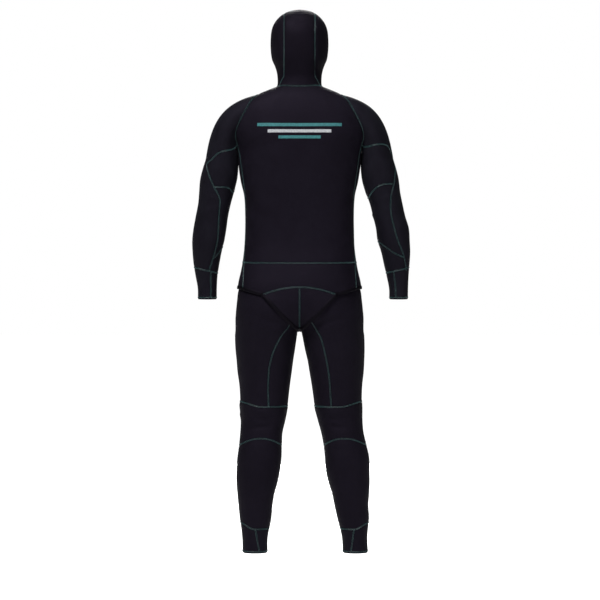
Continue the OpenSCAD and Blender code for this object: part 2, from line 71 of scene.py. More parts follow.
ORIGIN_H = 1500.0
SHEET = 5.0
LEFT, RIGHT = 1, -1
SIDE_NAME = {LEFT: "left", RIGHT: "right"}

NECK_H = 1550.0
ARMPIT_H = 1375.0
ARMPIT_ARC = 20.0
SHOULDER_H = 1530.0
WAIST_H = 1017.0
HEM_H = 936.0
CAP_H = 1335.0
CAP_SPAN = 100.0
CAP_TOP = CAP_H + CAP_SPAN
SLEEVE_SPLIT_H = 1225.0
WRIST_HEM_H = 902.0
CROTCH_H = 818.0
SEAT_TOP_H = 946.0
KNEE_TOP_H = 573.0
KNEE_TOP_RISE = 14.0
KNEE_LOW_H = 476.0
KNEE_LOW_DROP = 24.0
ANKLE_SEAM_H = 194.0
ANKLE_SEAM_RISE = 18.0
ANKLE_HEM_H = 118.0
# Half-width of the hood's centre panel, and at its foot in the neck seam
STRIP_X = 48.0
STRIP_FOOT_X = 62.0
# Height over the nape where the hood's centre panel starts to follow rays over the crown
NAPE_H = 1612.0
# Face opening: height of its centre, half its width and half its height
OPENING_H = 1670.0
OPENING_W = 60.0
OPENING_R = 63.0
# Point inside the head from which rays go out to the hood
HEAD_Y = -2.0
HEAD_H = 1690.0
# Exponents of the oval sections: 2 is an ellipse, more is squarer
TORSO_N = 2.4
LIMB_N = 2.2
HEAD_N = 2.2

# Rows of height, half-width, front depth and back depth
TORSO = np.array([
    (900, 195, -106, 126), (936, 192, -111, 124), (960, 188, -113, 119),
    (985, 182, -115, 110), (1017, 176, -116, 98), (1060, 171, -116, 88),
    (1100, 169, -115, 85), (1160, 168, -114, 89), (1220, 171, -116, 97),
    (1265, 181, -120, 106), (1320, 189, -124, 116), (1350, 192, -125, 120),
    (1375, 195, -124, 122), (1400, 207, -121, 124), (1425, 214, -116, 124),
    (1450, 213, -109, 122), (1480, 200, -93, 117), (1500, 178, -79, 111),
    (1515, 155, -70, 105), (1530, 126, -60, 97), (1541, 98, -53, 87),
    (1550, 73, -47, 77),
], float)
HOOD = np.array([
    (1550, 73, -47, 77), (1562, 68, -50, 74), (1587, 68, -66, 73), (1606, 71, -86, 77),
    (1624, 77, -96, 83), (1643, 85, -101, 90), (1680, 89, -104, 98), (1717, 88, -106, 101),
    (1736, 85, -102, 98), (1755, 77, -91, 90), (1773, 62, -70, 74), (1785, 45, -48, 56),
    (1792, 27, -26, 36), (1795.5, 5, -2, 12),
], float)
# Height, then how far out the side seams and the armholes lie
PANEL_EDGE = np.array([
    (900, 176), (1017, 171), (1100, 167), (1160, 166), (1220, 167), (1265, 172),
    (1320, 180), (1350, 184), (1375, 190), (1402, 196), (1425, 193), (1450, 182),
    (1480, 165), (1500, 153), (1515, 141), (1530, 126),
], float)
ARM = np.array([
    (908, 29, -44, 14), (936, 29.5, -44.5, 14.5), (973, 34, -48, 19), (1011, 40, -52, 28),
    (1048, 45, -54, 38), (1085, 50, -54, 46), (1122, 51, -50, 50), (1159, 50, -46, 53),
    (1197, 50.5, -49, 56), (1234, 54, -54, 59), (1271, 57, -56, 63), (1300, 55.5, -55, 65),
    (1335, 50.5, -52, 66),
], float)
# Height, then the centre line's distance out for the left and the right limb
ARM_X = np.array([
    (908, 286, 307), (936, 286, 307), (973, 288, 304), (1011, 288, 301), (1048, 286, 298),
    (1085, 282, 291), (1122, 277, 287), (1159, 271, 277), (1197, 263, 268),
    (1234, 256, 257), (1271, 250, 250), (1300, 245, 245), (1335, 239, 239),
], float)
LEG = np.array([
    (124, 39, -24, 54), (160, 39.5, -24.5, 54.5), (189, 43, -26, 58), (227, 49, -27, 62),
    (267, 52.5, -29, 68), (304, 57.5, -31, 74), (341, 64, -33, 79), (378, 67.5, -36, 82),
    (415, 68, -40, 82), (453, 66, -46, 77), (490, 65, -54, 70), (527, 68.5, -60, 66),
    (564, 73.5, -64, 68), (601, 75.5, -69, 72), (639, 79, -75, 76), (676, 84, -81, 81),
    (713, 88, -88, 87), (750, 93, -94, 94), (787, 96, -97, 101), (804, 96.5, -98, 105),
    (818, 99, -99, 108), (843, 108, -101, 114), (870, 122, -103, 118),
    (900, 145, -105, 119), (925, 168, -105, 118), (945, 184, -105, 115),
], float)
LEG_X = np.array([
    (124, 138, 173), (160, 138, 171), (189, 137, 169), (227, 136, 166), (267, 136, 161),
    (304, 135, 158), (341, 131, 153), (378, 127, 149), (415, 124, 147), (453, 121, 141),
    (490, 118, 133), (527, 113, 126), (564, 111, 121), (601, 109, 118), (639, 108, 116),
    (676, 108, 115), (713, 107, 113), (750, 106, 109), (787, 104, 105), (804, 102, 102),
    (818, 99, 99), (843, 90, 90), (870, 74, 74), (900, 48, 48), (925, 22, 22), (945, 0, 0),
], float)
# Seams as height and angle round the limb; sleeve heights above CAP_H run over the cap.
# The right arm is turned inward a little, so its back seam lies nearer to the outer side.
SLEEVE_BACK = {
    LEFT: np.array([
        (985, 100), (1038, 120), (1085, 124), (1128, 120), (1175, 113), (1209, 106),
        (1237, 90), (1268, 71), (1299, 51), (1318, 37), (1326, 42), (1333, 54), (1348, 80),
        (1371, 112), (1400, 131), (1435, 143),
    ], float),
    RIGHT: np.array([
        (985, 42), (1007, 49), (1043, 64), (1074, 75), (1116, 85), (1153, 85), (1187, 81),
        (1224, 68), (1258, 49), (1283, 38), (1308, 22), (1332, 16), (1348, 36), (1362, 72),
        (1382, 106), (1406, 129), (1435, 143),
    ], float),
}
SLEEVE_FRONT = np.array([(985, -75), (1240, -80), (1335, -86), (1385, -112), (1435, -143)], float)
THIGH_BACK = {
    LEFT: np.array([
        (560, 101), (604, 98), (651, 97), (704, 99), (747, 105), (792, 117), (821, 128),
        (843, 126), (870, 110), (900, 95), (925, 86), (950, 78),
    ], float),
    RIGHT: np.array([
        (560, 106), (604, 105), (661, 105), (704, 107), (749, 109), (792, 113), (821, 119),
        (843, 119), (870, 106), (900, 94), (925, 86), (950, 78),
    ], float),
}
# Free edge of the tail from the crotch to the hem: fraction, distance out, height
TAIL_EDGE = np.array([
    (0, 0, 812), (0.08, 10, 814), (0.25, 32, 834), (0.45, 58, 858), (0.65, 82, 885),
    (0.88, 106, 910), (1, 118, 918),
], float)
# Seam of the tail with the jacket's back: height of its middle and fall to its ends. Then
# the tail's half-width, how far it lies over the seat, and the ends of its free edge.
ARC_TOP_H = 944.0
ARC_DROP = 26.0
TAIL_W = 118.0
TAIL_OFF = 7.6
TAIL_FOOT_H = 812.0
TAIL_SIDE_H = 918.0
# Height at which the lumbar panel is measured across, and the top of the trousers' waist
LUMBAR_READ_H = 930.0
WAIST_TOP_H = 1070.0
# Tail strip from the back to the front and up: depth, height, half-width
GUSSET = np.array([
    (66, 815, 11), (62, 813, 10), (50, 808, 9), (32, 804, 6), (8, 803, 4.5),
    (-20, 804, 5), (-42, 808, 7), (-60, 815, 11), (-76, 825, 17), (-90, 837, 23),
], float)
FLAP = np.array([
    (-90, 837, 23), (-101, 851, 29), (-106, 862, 33), (-111, 880, 40), (-116.5, 905, 48),
    (-120.5, 930, 53), (-122.5, 955, 54), (-123.5, 980, 54), (-124, 1000, 51),
    (-124, 1009, 46),
], float)

# ---- Looks of seams and sheets ----
# Spacing of a grid's points on the panels and on the tail's strap, and how far the strap's
# middle bows out, per square millimetre of its half-width
CELL = 6.0
STRAP_CELL = 4.0
STRAP_BOW = 0.001
# Depth and half-width of the dip along a seam, and the rounding of a hem
SEAM_DIP = 1.3
SEAM_DIP_WIDTH = 4.0
EDGE_ROUND = 1.6
# Half-widths of the flat stitches on a seam and on a hem, the pitch and the thread's radius
STITCH_HALF = 1.7
HEM_STITCH_HALF = 1.2
STITCH_PITCH = 2.4
THREAD_R = 0.36
# Height of a stitch's two rails over the cloth, and of its zigzag over the rails
STITCH_LIFT = 0.75
ZIGZAG_LIFT = 0.25
# Angle of the seam down each cuff
CUFF_SEAM = {LEFT: 112.0, RIGHT: 108.0}
# Half-width of the dark tape on the edges, whose near-black colour is painted shade along their step, and
# its thickness as a share of its width
TAPE_HALF = 5.5
TAPE_FLAT = 0.34
# Half-width of the tape inside a seam, and how deep it lies below the outer face
TAPE_IN = 7.0
TAPE_DEPTH = 4.0
# Height of a stitched seam over the outer face: it is pulled into the cloth
STITCH_SINK = -0.45
# What the folds' heights in the tables below are multiplied by
FOLD_DEPTH = 1.7
# Width, depth and height of the cut that makes a slot in the flap, and its depth's middle: metres
SLOT_SIZE = (0.026, 0.04, 0.014)
FLAP_Y = -0.12
# Chest pad: lowest and highest heights, angles of its sides, width, distance between its ribs
PAD_LOW_H = 1225.0
PAD_HIGH_H = 1375.0
PAD_ANGLES = (248, 292)
PAD_WIDTH = 150
PAD_RIB_PITCH = 9.0
# Knee pad: width and height of its ribbed part, and the number of ribs
KNEE_PAD_SIZE = (200, 125)
KNEE_RIBS = 14
# Space between the jacket and the trousers' waist under it
WAIST_GAP = 3.4

# ---- Heights between which the cloth bends at a joint ----
HOOD_BEND = (1560.0, 1630.0)
ELBOW_BEND = (1219.0, 1099.0)
KNEE_BEND = (570.0, 470.0)
FLAP_BEND = (840.0, 868.0)
# The hips bend below HIP_BEND_H, and least inside HIP_STILL_X of the middle plane; below
# LEG_FREE_H the legs' cloth is apart and all of it follows the thigh.
HIP_BEND_H = 955.0
HIP_BEND_RUN = 165.0
HIP_STILL_X = 55.0
LEG_FREE_H = 800.0
LEG_FREE_RUN = 60.0


# ---- Reading tables and ovals ----
def mix(a, b, t):
    return a + (b - a) * t


def ease(t):
    u = np.clip(t, 0, 1)
    return u * u * (3 - 2 * u)


def read(table, key):
    """Smooth reading of a table's columns at a key, by cubic pieces through its rows."""
    key = np.clip(np.asarray(key, float), table[0, 0], table[-1, 0])
    ends = np.r_[0, np.arange(len(table)), len(table) - 1]
    before, after = table[ends[:-2]], table[ends[2:]]
    slopes = (after - before) / (after - before)[:, :1]
    i = np.clip(np.searchsorted(table[:, 0], key) - 1, 0, len(table) - 2)
    a, b = table[i], table[i + 1]
    run = b[..., :1] - a[..., :1]
    t = (key[..., None] - a[..., :1]) / run
    return cubic(a, b, slopes[i] * run, slopes[i + 1] * run, t)


def cubic(a, b, leaving, arriving, t):
    """Cubic piece from a to b with its slopes at both ends."""
    return (
        a * (1 - 3 * t**2 + 2 * t**3)
        + leaving * (t - 2 * t**2 + t**3)
        + b * (3 * t**2 - 2 * t**3)
        + arriving * (t**3 - t**2)
    )


def rooted(v, power):
    """A power that keeps the sign."""
    return np.sign(v) * np.abs(v) ** power


def cosd(a):
    return np.cos(np.radians(a))


def sind(a):
    return np.sin(np.radians(a))


def oval(width, front, back, n, phi):
    """Point of a rounded section at an angle, from +X towards +Y."""
    x = width * rooted(cosd(phi), 2 / n)
    y = (front + back) / 2 + (back - front) / 2 * rooted(sind(phi), 2 / n)
    return x, y


def angle_at(width, x, n):
    """Angle at which an oval section of a half-width is the distance x out."""
    return np.degrees(np.arccos(np.minimum(np.abs(x) / width, 1) ** (n / 2)))


def halves(rows):
    """Middle and half of the depth in a table's rows."""
    return (rows[..., 2] + rows[..., 3]) / 2, (rows[..., 3] - rows[..., 2]) / 2


def joined(x, y, z):
    return np.stack(np.broadcast_arrays(x, y, z), axis=-1)


def unit(vectors):
    return vectors / np.maximum(np.linalg.norm(vectors, axis=-1, keepdims=True), 1e-9)


# ---- Surfaces of the suit ----
def neck_dip(h):
    """Share of the neckline's slope at a height: its front hangs lower than its back."""
    return ease((h - 1400) / 150) * (1 - ease((h - NECK_H) / 60))


def body_surface(table, n, phi, h, out=0.0):
    """Jacket or hood at an angle round the body and a height, moved out by a distance."""
    rows = read(table, h)
    x, y = oval(rows[..., 1] + out, rows[..., 2] - out, rows[..., 3] + out, n, phi)
    s = sind(phi)
    return joined(x, y, h + neck_dip(h) * (29 * s - 21 * s * s))


def torso(phi, h, out=0.0):
    return body_surface(TORSO, TORSO_N, phi, h, out)


def hood(phi, h):
    return body_surface(HOOD, HEAD_N, phi, h)


def edge_angle(h):
    """Angle of the side seam, and of the armhole above the armpit."""
    width = read(TORSO, h)[..., 1]
    edge = read(PANEL_EDGE, h)[..., 1]
    return np.where(h >= SHOULDER_H, 0.0, angle_at(width, edge, TORSO_N))


def limb(table, lines, side, phi, h):
    rows = read(table, h)
    centre = read(lines, h)[..., 1 if side == LEFT else 2]
    x, y = oval(rows[..., 1], rows[..., 2], rows[..., 3], LIMB_N, phi)
    return joined(side * (centre + x), y, h)


def leg(side, phi, h):
    return limb(LEG, LEG_X, side, phi, h)


def armhole(side, theta):
    """Edge of the armhole at an angle round the arm, from its top over the back."""
    turn = np.abs((theta + 180) % 360 - 180)
    sign = np.where((theta % 360) < 180, 1.0, -1.0)
    high = 180 - ARMPIT_ARC
    mid, span = (SHOULDER_H + ARMPIT_H) / 2, (SHOULDER_H - ARMPIT_H) / 2
    h = mid + span * cosd(np.minimum(turn / high, 1) * 180)
    under = np.clip((180 - turn) / ARMPIT_ARC, 0, 1)
    point = torso(edge_angle(h) * sign * under, h)
    return point * (side, 1, 1)


def arm(side, theta, g):
    """Sleeve at height g, or its cap where g is above CAP_H, up to CAP_TOP."""
    theta, g = np.broadcast_arrays(theta, g)
    low = limb(ARM, ARM_X, side, theta, np.minimum(g, CAP_H))
    c, s = cosd(theta), sind(theta)
    a = armhole(side, theta)
    b = limb(ARM, ARM_X, side, theta, np.full(g.shape, CAP_H))
    # The cap's slopes where it leaves the armhole and where it runs into the arm
    out = joined(side * (105 + 170 * c + 80 * c * c), 20 * s, -80 - 15 * c + 25 * c * c)
    down = joined(side * (16 + 26 * c + 10 * c * c), -10 * s, -130 - 145 * c - 55 * c * c)
    t = np.clip(1 - (g - CAP_H) / CAP_SPAN, 0, 1)[..., None]
    return np.where((g > CAP_H)[..., None], cubic(a, b, out, down, t), low)


def arm_weight(theta, g):
    """How far a point of the sleeve follows the upper arm: longer under the arm."""
    reach = 1.45 - 0.55 * cosd(theta)
    return ease((CAP_TOP - g) / CAP_SPAN / reach)


def hip_weight(p):
    """How far a point follows the thigh; not at all on the middle plane, where the legs meet."""
    x, h = np.abs(p[..., 0]), p[..., 2]
    beside = ease((HIP_BEND_H - h) / HIP_BEND_RUN) * ease(x / HIP_STILL_X)
    return mix(beside, 1.0, ease((LEG_FREE_H - h) / LEG_FREE_RUN))


def hip_limit(h):
    """Angle at which a hip section meets the middle plane; the inseam below the crotch."""
    cut = 180 - angle_at(read(LEG, h)[..., 1], read(LEG_X, h)[..., 1], LIMB_N)
    return np.where(h <= CROTCH_H, 180.0, cut)


def seat_depth(x, h, off):
    rows = read(LEG, h)
    u = np.minimum(np.abs(x - read(LEG_X, h)[..., 1]) / (rows[..., 1] + off), 1)
    middle, half = halves(rows)
    return middle + (half + off) * (1 - u**LIMB_N) ** (1 / LIMB_N)


def tail(side, q, r):
    """Back of the tail: q from its centre seam to its free edge, r down from the arc."""
    edge = read(TAIL_EDGE, q)
    top = ARC_TOP_H - ARC_DROP * q * q
    x = mix(q * TAIL_W, edge[..., 1], r)
    h = mix(top, edge[..., 2], r)
    half = np.maximum(TAIL_W * (h - TAIL_FOOT_H) / (TAIL_SIDE_H - TAIL_FOOT_H), 8)
    bridge = np.hypot(x, 0.4 * np.minimum(half, 60))
    on_tail = seat_depth(bridge, h + 8 * ease((885 - h) / 55), TAIL_OFF)
    on_jacket = torso(90, h)[..., 1] - 0.0012 * x * x
    return joined(side * x, mix(on_tail, on_jacket, ease((h - 900) / 40)), h)


def hood_ray(x, angle):
    """Hood surface in the plane of one x, along a ray from inside the head."""
    x, angle = np.broadcast_arrays(x, angle)
    near, far = np.zeros(x.shape), np.full(x.shape, 190.0)
    for _ in range(22):
        reach = (near + far) / 2
        y, h = HEAD_Y + reach * cosd(angle), HEAD_H + reach * sind(angle)
        level = h - 8.5 * neck_dip(h - 8.5) * (y > 0)
        rows = read(HOOD, level)
        middle, half = halves(rows)
        across = (np.abs(x) / rows[..., 1]) ** HEAD_N
        inside = across + (np.abs(y - middle) / half) ** HEAD_N < 1
        inside &= level < HOOD[-1, 0]
        near, far = np.where(inside, reach, near), np.where(inside, far, reach)
    return joined(x, HEAD_Y + near * cosd(angle), HEAD_H + near * sind(angle))


def opening_x(h):
    return OPENING_W * np.sqrt(np.maximum(1 - ((h - OPENING_H) / OPENING_R) ** 2, 0))


def opening_low(x):
    return OPENING_H - OPENING_R * np.sqrt(np.maximum(1 - (x / OPENING_W) ** 2, 0))


# ---- Shape details that lie on the surfaces ----
def fold(p, centre, along, width, length, height):
    """A soft ridge, or a crease where height is below zero, round a line through centre."""
    along = np.array(along, float) / np.linalg.norm(along)
    rel = p - np.array(centre, float)
    run = rel @ along
    off = np.linalg.norm(rel - run[..., None] * along, axis=-1)
    return height * np.exp(-((off / width) ** 2) - (run / length) ** 2)


def ripple(p):
    """Slight waviness of neoprene that is stretched over a body."""
    x, y, z = p[..., 0], p[..., 1], p[..., 2]
    waves = np.sin(x / 31 + 1.3 * np.sin(z / 57)) * np.sin(z / 43 + y / 39)
    return 0.35 * waves + 0.2 * np.sin(z / 17 + 2 * np.sin(x / 40)) * np.sin(y / 23)


TORSO_FOLDS = [
    ((0, 100, 1230), (0, 0.1, 1), 26, 190, -2.6),
    ((95, 118, 1400), (0.25, 0, 1), 42, 60, 2.6),
    ((-95, 118, 1400), (-0.25, 0, 1), 42, 60, 2.6),
    ((165, 60, 1320), (-0.8, 0.3, 0.9), 7, 34, 1.6),
    ((-165, 60, 1320), (0.8, 0.3, 0.9), 7, 34, 1.6),
    ((168, 55, 1290), (-0.9, 0.3, 0.7), 7, 30, 1.3),
    ((-168, 55, 1285), (0.9, 0.3, 0.7), 7, 30, 1.3),
    ((150, 40, 1075), (1, 0, 0.15), 8, 40, 1.2),
    ((-150, 40, 1085), (1, 0, -0.15), 8, 40, 1.2),
    ((70, -118, 1335), (1, 0, 0.1), 50, 45, 4.0),
    ((-70, -118, 1335), (1, 0, -0.1), 50, 45, 4.0),
    ((0, -112, 1200), (0, 0, 1), 16, 120, -1.8),
]
LEG_FOLDS = [
    ((88, 112, 836), (1, 0, 0.31), 11, 50, -3.6),
    ((70, 109, 818), (1, 0, 0.5), 14, 40, 1.6),
    ((50, 100, 800), (1, 0, 0.6), 9, 34, 1.4),
    ((160, 40, 790), (0.5, 0.6, 0.4), 10, 45, 1.0),
    ((186, 10, 575), (0, 0.5, 1), 6, 12, 1.6),
    ((184, 10, 545), (0, 0.6, 1), 6, 12, 1.8),
    ((112, 62, 535), (1, 0, 0.1), 6, 40, -1.8),
    ((112, 64, 512), (1, 0, -0.12), 7, 42, -2.0),
    ((112, 66, 556), (1, 0, 0.2), 7, 30, 1.2),
    ((114, -60, 556), (1, 0, 0), 8, 40, 1.0),
    ((125, 80, 395), (0.15, 0, 1), 24, 60, 1.8),
    ((136, 55, 230), (1, 0, 0.1), 7, 26, 1.0),
    ((137, 57, 205), (1, 0, -0.2), 7, 26, 0.8),
]
ARM_FOLDS = [
    ((262, 55, 1215), (1, 0, 0.35), 6, 22, 1.5),
    ((268, 50, 1180), (1, 0, -0.3), 6, 24, 1.2),
    ((272, -46, 1165), (1, 0, 0.2), 6, 28, -2.4),
    ((272, -46, 1140), (1, 0, -0.2), 6, 28, -2.0),
    ((228, 20, 1165), (0, 1, 0.3), 6, 24, 1.6),
    ((206, 50, 1300), (0.4, 0.5, 1), 8, 30, 1.6),
    ((214, 62, 1270), (0.6, 0.2, 1), 7, 26, 1.2),
    ((288, 12, 1000), (1, 0, 0.1), 6, 22, 1.0),
]


def with_folds(p, folds, side=LEFT):
    mirrored = p * (side, 1, 1)
    return ripple(p) + FOLD_DEPTH * sum(fold(mirrored, *f) for f in folds)


def torso_detail(p):
    return with_folds(p, TORSO_FOLDS)


def leg_detail(side):
    return lambda p: with_folds(p, LEG_FOLDS, side)


def arm_detail(side, g):
    """Folds of a sleeve, which fade out at the armhole so that its edge meets the body's."""
    fade = ease((CAP_TOP - g) / 30)
    return lambda p: fade * with_folds(p, ARM_FOLDS, side)


# ---- Making meshes ----
def normals_of(grid, ring):
    """Outward normals of a grid whose rows rise and whose columns turn from +X to +Y."""
    up = np.gradient(grid, axis=0, edge_order=2 if len(grid) > 2 else 1)
    if ring:
        across = np.roll(grid, -1, axis=1) - np.roll(grid, 1, axis=1)
    else:
        across = np.gradient(grid, axis=1, edge_order=2)
    return unit(np.cross(across, up))


def run_along(grid, axis):
    """Length along each line of a grid, from its start."""
    step = np.linalg.norm(np.diff(grid, axis=axis), axis=-1)
    pad = [(1, 0), (0, 0)] if axis == 0 else [(0, 0), (1, 0)]
    return np.pad(np.cumsum(step, axis=axis), pad)


def spacing(length, low_edge, high_edge, cell=CELL):
    """Fractions from 0 to 1, closer together beside an edge that has a seam or a hem."""
    near = [0.0, 0.7, 1.8, 3.2, 5.2, 8.0]
    start = near if low_edge else [0.0]
    end = [length - d for d in near[::-1]] if high_edge else [length]
    count = max(int(round((end[0] - start[-1]) / cell)), 1)
    middle = np.linspace(start[-1], end[0], count + 1)[1:-1]
    return np.r_[start, middle, end] / length


def add_mesh(name, points, faces, material, smooth_angle=48.0):
    mesh = bpy.data.meshes.new(name)
    metres = (np.asarray(points) - (0, 0, ORIGIN_H)) * MM
    mesh.from_pydata(metres.tolist(), [], [tuple(map(int, f)) for f in faces])
    mesh.validate()
    mesh.shade_smooth()
    mesh.set_sharp_from_angle(angle=math.radians(smooth_angle))
    mesh.materials.append(material)
    piece = bpy.data.objects.new(name, mesh)
    bpy.context.scene.collection.objects.link(piece)
    return piece


def quads(rows, cols, ring, start=0, flip=False):
    i, j = np.meshgrid(np.arange(rows - 1), np.arange(cols if ring else cols - 1), indexing="ij")
    i, j = i.ravel(), j.ravel()
    k = (j + 1) % cols
    corners = [i * cols + j, i * cols + k, (i + 1) * cols + k, (i + 1) * cols + j]
    faces = start + np.stack(corners, 1)
    return faces[:, ::-1] if flip else faces


def rim(outer, inner):
    """Faces that close a sheet along a run of outer points and the inner ones under them."""
    return np.stack([outer[1:], outer[:-1], inner[:-1], inner[1:]], 1)


# A right-hand sheet's columns run the other way
SWAP = {"l": "r", "r": "l"}


class Sheet:
    """A neoprene sheet over a grid of outer points."""

    def __init__(self, name, grid, material, side=LEFT, ring=False, thick=SHEET, seams="tblr",
                 hems="", detail=None, weights=None, body=None, nodes=None):
        offset = grid if detail is None else detail(grid)
        if side == RIGHT:
            grid = grid[:, ::-1]
            offset = offset[:, ::-1]
            weights = None if weights is None else weights[:, ::-1]
            seams = "".join(SWAP.get(c, c) for c in seams)
            hems = "".join(SWAP.get(c, c) for c in hems)
        base = normals_of(grid, ring)
        shaped = grid if detail is None else grid + base * offset[..., None]
        down, across = run_along(grid, 0), run_along(grid, 1)
        gaps = {"b": down, "t": down[-1:] - down, "l": across, "r": across[:, -1:] - across}
        for edge in seams:
            dip = SEAM_DIP * np.exp(-((gaps[edge] / SEAM_DIP_WIDTH) ** 2))
            shaped = shaped - base * dip[..., None]
        for edge in hems:
            lip = EDGE_ROUND * np.exp(-((gaps[edge] / EDGE_ROUND) ** 2))
            shaped = shaped - base * lip[..., None]
        self.grid, self.normals, self.weights, self.side = shaped, base, weights, side
        inner = grid - base * thick
        rows, cols = grid.shape[:2]
        count = rows * cols
        ids = np.arange(count).reshape(rows, cols)
        wrap = (lambda a: np.r_[a, a[:1]]) if ring else (lambda a: a)
        faces = [quads(rows, cols, ring), quads(rows, cols, ring, count, True)]
        faces.append(rim(wrap(ids[0]), wrap(ids[0]) + count))
        faces.append(rim(wrap(ids[-1])[::-1], wrap(ids[-1])[::-1] + count))
        if not ring:
            faces.append(rim(ids[::-1, 0], ids[::-1, 0] + count))
            faces.append(rim(ids[:, -1], ids[:, -1] + count))
        points = np.concatenate([shaped.reshape(-1, 3), inner.reshape(-1, 3)])
        self.piece = add_mesh(name, points, np.concatenate(faces), material)
        self.add_uv(np.tile(across.reshape(-1), 2), np.tile(down.reshape(-1), 2), cols, ring)
        if body:
            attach(self.piece, body)
        if nodes is not None:
            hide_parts(*nodes)

    def add_uv(self, u, v, cols, ring):
        """UVs in metres along the sheet, for the knit of its jersey."""
        mesh = self.piece.data
        index = np.zeros(len(mesh.loops), int)
        mesh.loops.foreach_get("vertex_index", index)
        uu, vv = u[index].copy(), v[index]
        if ring:
            width = u.max()
            starts = np.zeros(len(mesh.polygons), int)
            mesh.polygons.foreach_get("loop_start", starts)
            quad = starts[:, None] + np.arange(4)
            wide = (uu[quad].max(1) - uu[quad].min(1)) > width / 2
            first = (index[quad] % cols) == 0
            uu[quad[wide[:, None] & first]] += width
        layer = mesh.uv_layers.new(name="knit")
        layer.data.foreach_set("uv", np.stack([uu, vv], 1).ravel() * MM)

    def edge(self, which):
        """Points, normals and weights along one edge: b, t, l or r as first made."""
        if self.side == RIGHT:
            which = SWAP.get(which, which)
        cut = {"b": np.s_[0], "t": np.s_[-1], "l": np.s_[:, 0], "r": np.s_[:, -1]}[which]
        weights = None if self.weights is None else self.weights[cut]
        return self.grid[cut], self.normals[cut], weights

    def bend_by_weights(self, a, b):
        blend_by_weights(self.piece, a, b, np.tile(self.weights.reshape(-1), 2))


def bend(piece, a, b, heights):
    """Blends a piece from one body to the next between two heights."""
    start, end = ((0, 0, (h - ORIGIN_H) * MM) for h in heights)
    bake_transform(piece, a, b, start=start, end=end)


def blend_by_weights(piece, a, b, weights):
    """Blends across a joint with a weight per point, where no flat zone fits the cloth."""
    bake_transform(piece, a, b, start=(0, 0, 0), end=(0, 0, -1))
    field = piece.data.attributes["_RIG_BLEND"]
    field.data.foreach_set("value", np.asarray(weights, np.float32))


# ---- Threads and bindings along seams ----
def resampled(line, step):
    points, normals, weights = line
    gaps = np.linalg.norm(np.diff(points, axis=0), axis=1)
    run = np.r_[0, np.cumsum(gaps)]
    count = max(int(round(run[-1] / step)), 2)
    at = np.linspace(0, run[-1], count + 1)

    def along(values):
        return np.stack([np.interp(at, run, values[:, k]) for k in range(values.shape[1])], 1)

    new_weights = None if weights is None else np.interp(at, run, weights)
    return along(points), unit(along(normals)), new_weights


def tube(path, normals, radius, sides=5, flat=1.0):
    """Points and faces of a tube along a path, capped at both ends."""
    forward = unit(np.gradient(path, axis=0))
    across = unit(np.cross(forward, normals))
    up = np.cross(across, forward)
    turn = np.arange(sides) * 2 * np.pi / sides
    ring = (
        np.cos(turn)[None, :, None] * across[:, None]
        + flat * np.sin(turn)[None, :, None] * up[:, None]
    )
    points = (path[:, None] + radius * ring).reshape(-1, 3)
    faces = quads(len(path), sides, True, flip=True).tolist()
    last = (len(path) - 1) * sides
    faces.append(list(range(sides)))
    faces.append([last + k for k in range(sides)][::-1])
    return points, faces


class Threads:
    """Collects thread or binding tubes that move together, and makes one piece of them."""

    def __init__(self, name, material, slot="neoprene"):
        self.name, self.material, self.slot = name, material, slot
        self.points, self.faces, self.weights = [], [], []
        self.count = 0

    def add_tube(self, path, normals, radius, weights=None, sides=5, flat=1.0):
        points, faces = tube(path, normals, radius, sides, flat)
        self.points.append(points)
        self.faces += [[k + self.count for k in f] for f in faces]
        self.count += len(points)
        if weights is not None:
            self.weights.append(np.repeat(weights, sides))

    def flatlock(self, line, half=STITCH_HALF):
        """Two rows of thread with a zigzag between them, over a seam."""
        points, normals, weights = resampled(line, STITCH_PITCH / 2)
        across = unit(np.cross(np.gradient(points, axis=0), normals))
        lifted = points + normals * STITCH_LIFT
        zigzag = half * np.where(np.arange(len(points)) % 2, 1.0, -1.0)
        self.add_tube(lifted + across * zigzag[:, None] + normals * ZIGZAG_LIFT, normals, THREAD_R,
                      weights, 4)
        every = slice(None, None, 3)
        rail_weights = None if weights is None else weights[every]
        for sign in (-1, 1):
            rail = (lifted + across * sign * half)[every]
            self.add_tube(rail, normals[every], THREAD_R * 1.15, rail_weights, 4)

    def binding(self, line, radius, flat=1.0, lift=0.0):
        points, normals, weights = resampled(line, 4.0)
        self.add_tube(points + normals * lift, normals, radius, weights, 10, flat)

    def make(self):
        piece = add_mesh(self.name, np.concatenate(self.points), self.faces, self.material, 75)
        return piece


def inset_line(sheet, which, distance):
    """A line on a sheet, at a distance in from one of its edges."""
    if sheet.side == RIGHT:
        which = SWAP.get(which, which)
    grid, normals = sheet.grid, sheet.normals
    if which in "lr":
        grid, normals = grid.transpose(1, 0, 2), normals.transpose(1, 0, 2)
    if which in "tr":
        grid, normals = grid[::-1], normals[::-1]
    run = run_along(grid, 0)
    points, ups = [], []
    for j in range(grid.shape[1]):
        points.append([np.interp(distance, run[:, j], grid[:, j, k]) for k in range(3)])
        ups.append([np.interp(distance, run[:, j], normals[:, j, k]) for k in range(3)])
    return np.array(points), np.array(ups), None


def surface_line(surface, u, v, detail=None, weights=None, flip=False):
    """A line of points on a surface function of two values, with its normals."""
    d = 0.02
    p = surface(u, v)
    du = surface(u + d, v) - surface(u - d, v)
    dv = surface(u, v + d) - surface(u, v - d)
    n = unit(np.cross(du, dv)) * (-1 if flip else 1)
    if detail is not None:
        p = p + n * detail(p)[..., None]
    return p, n, weights


# ---- Materials ----
# Strength of the white surroundings, as a light and as the camera sees them
SKY_LIGHT = 0.08
SKY_SEEN = 1.0


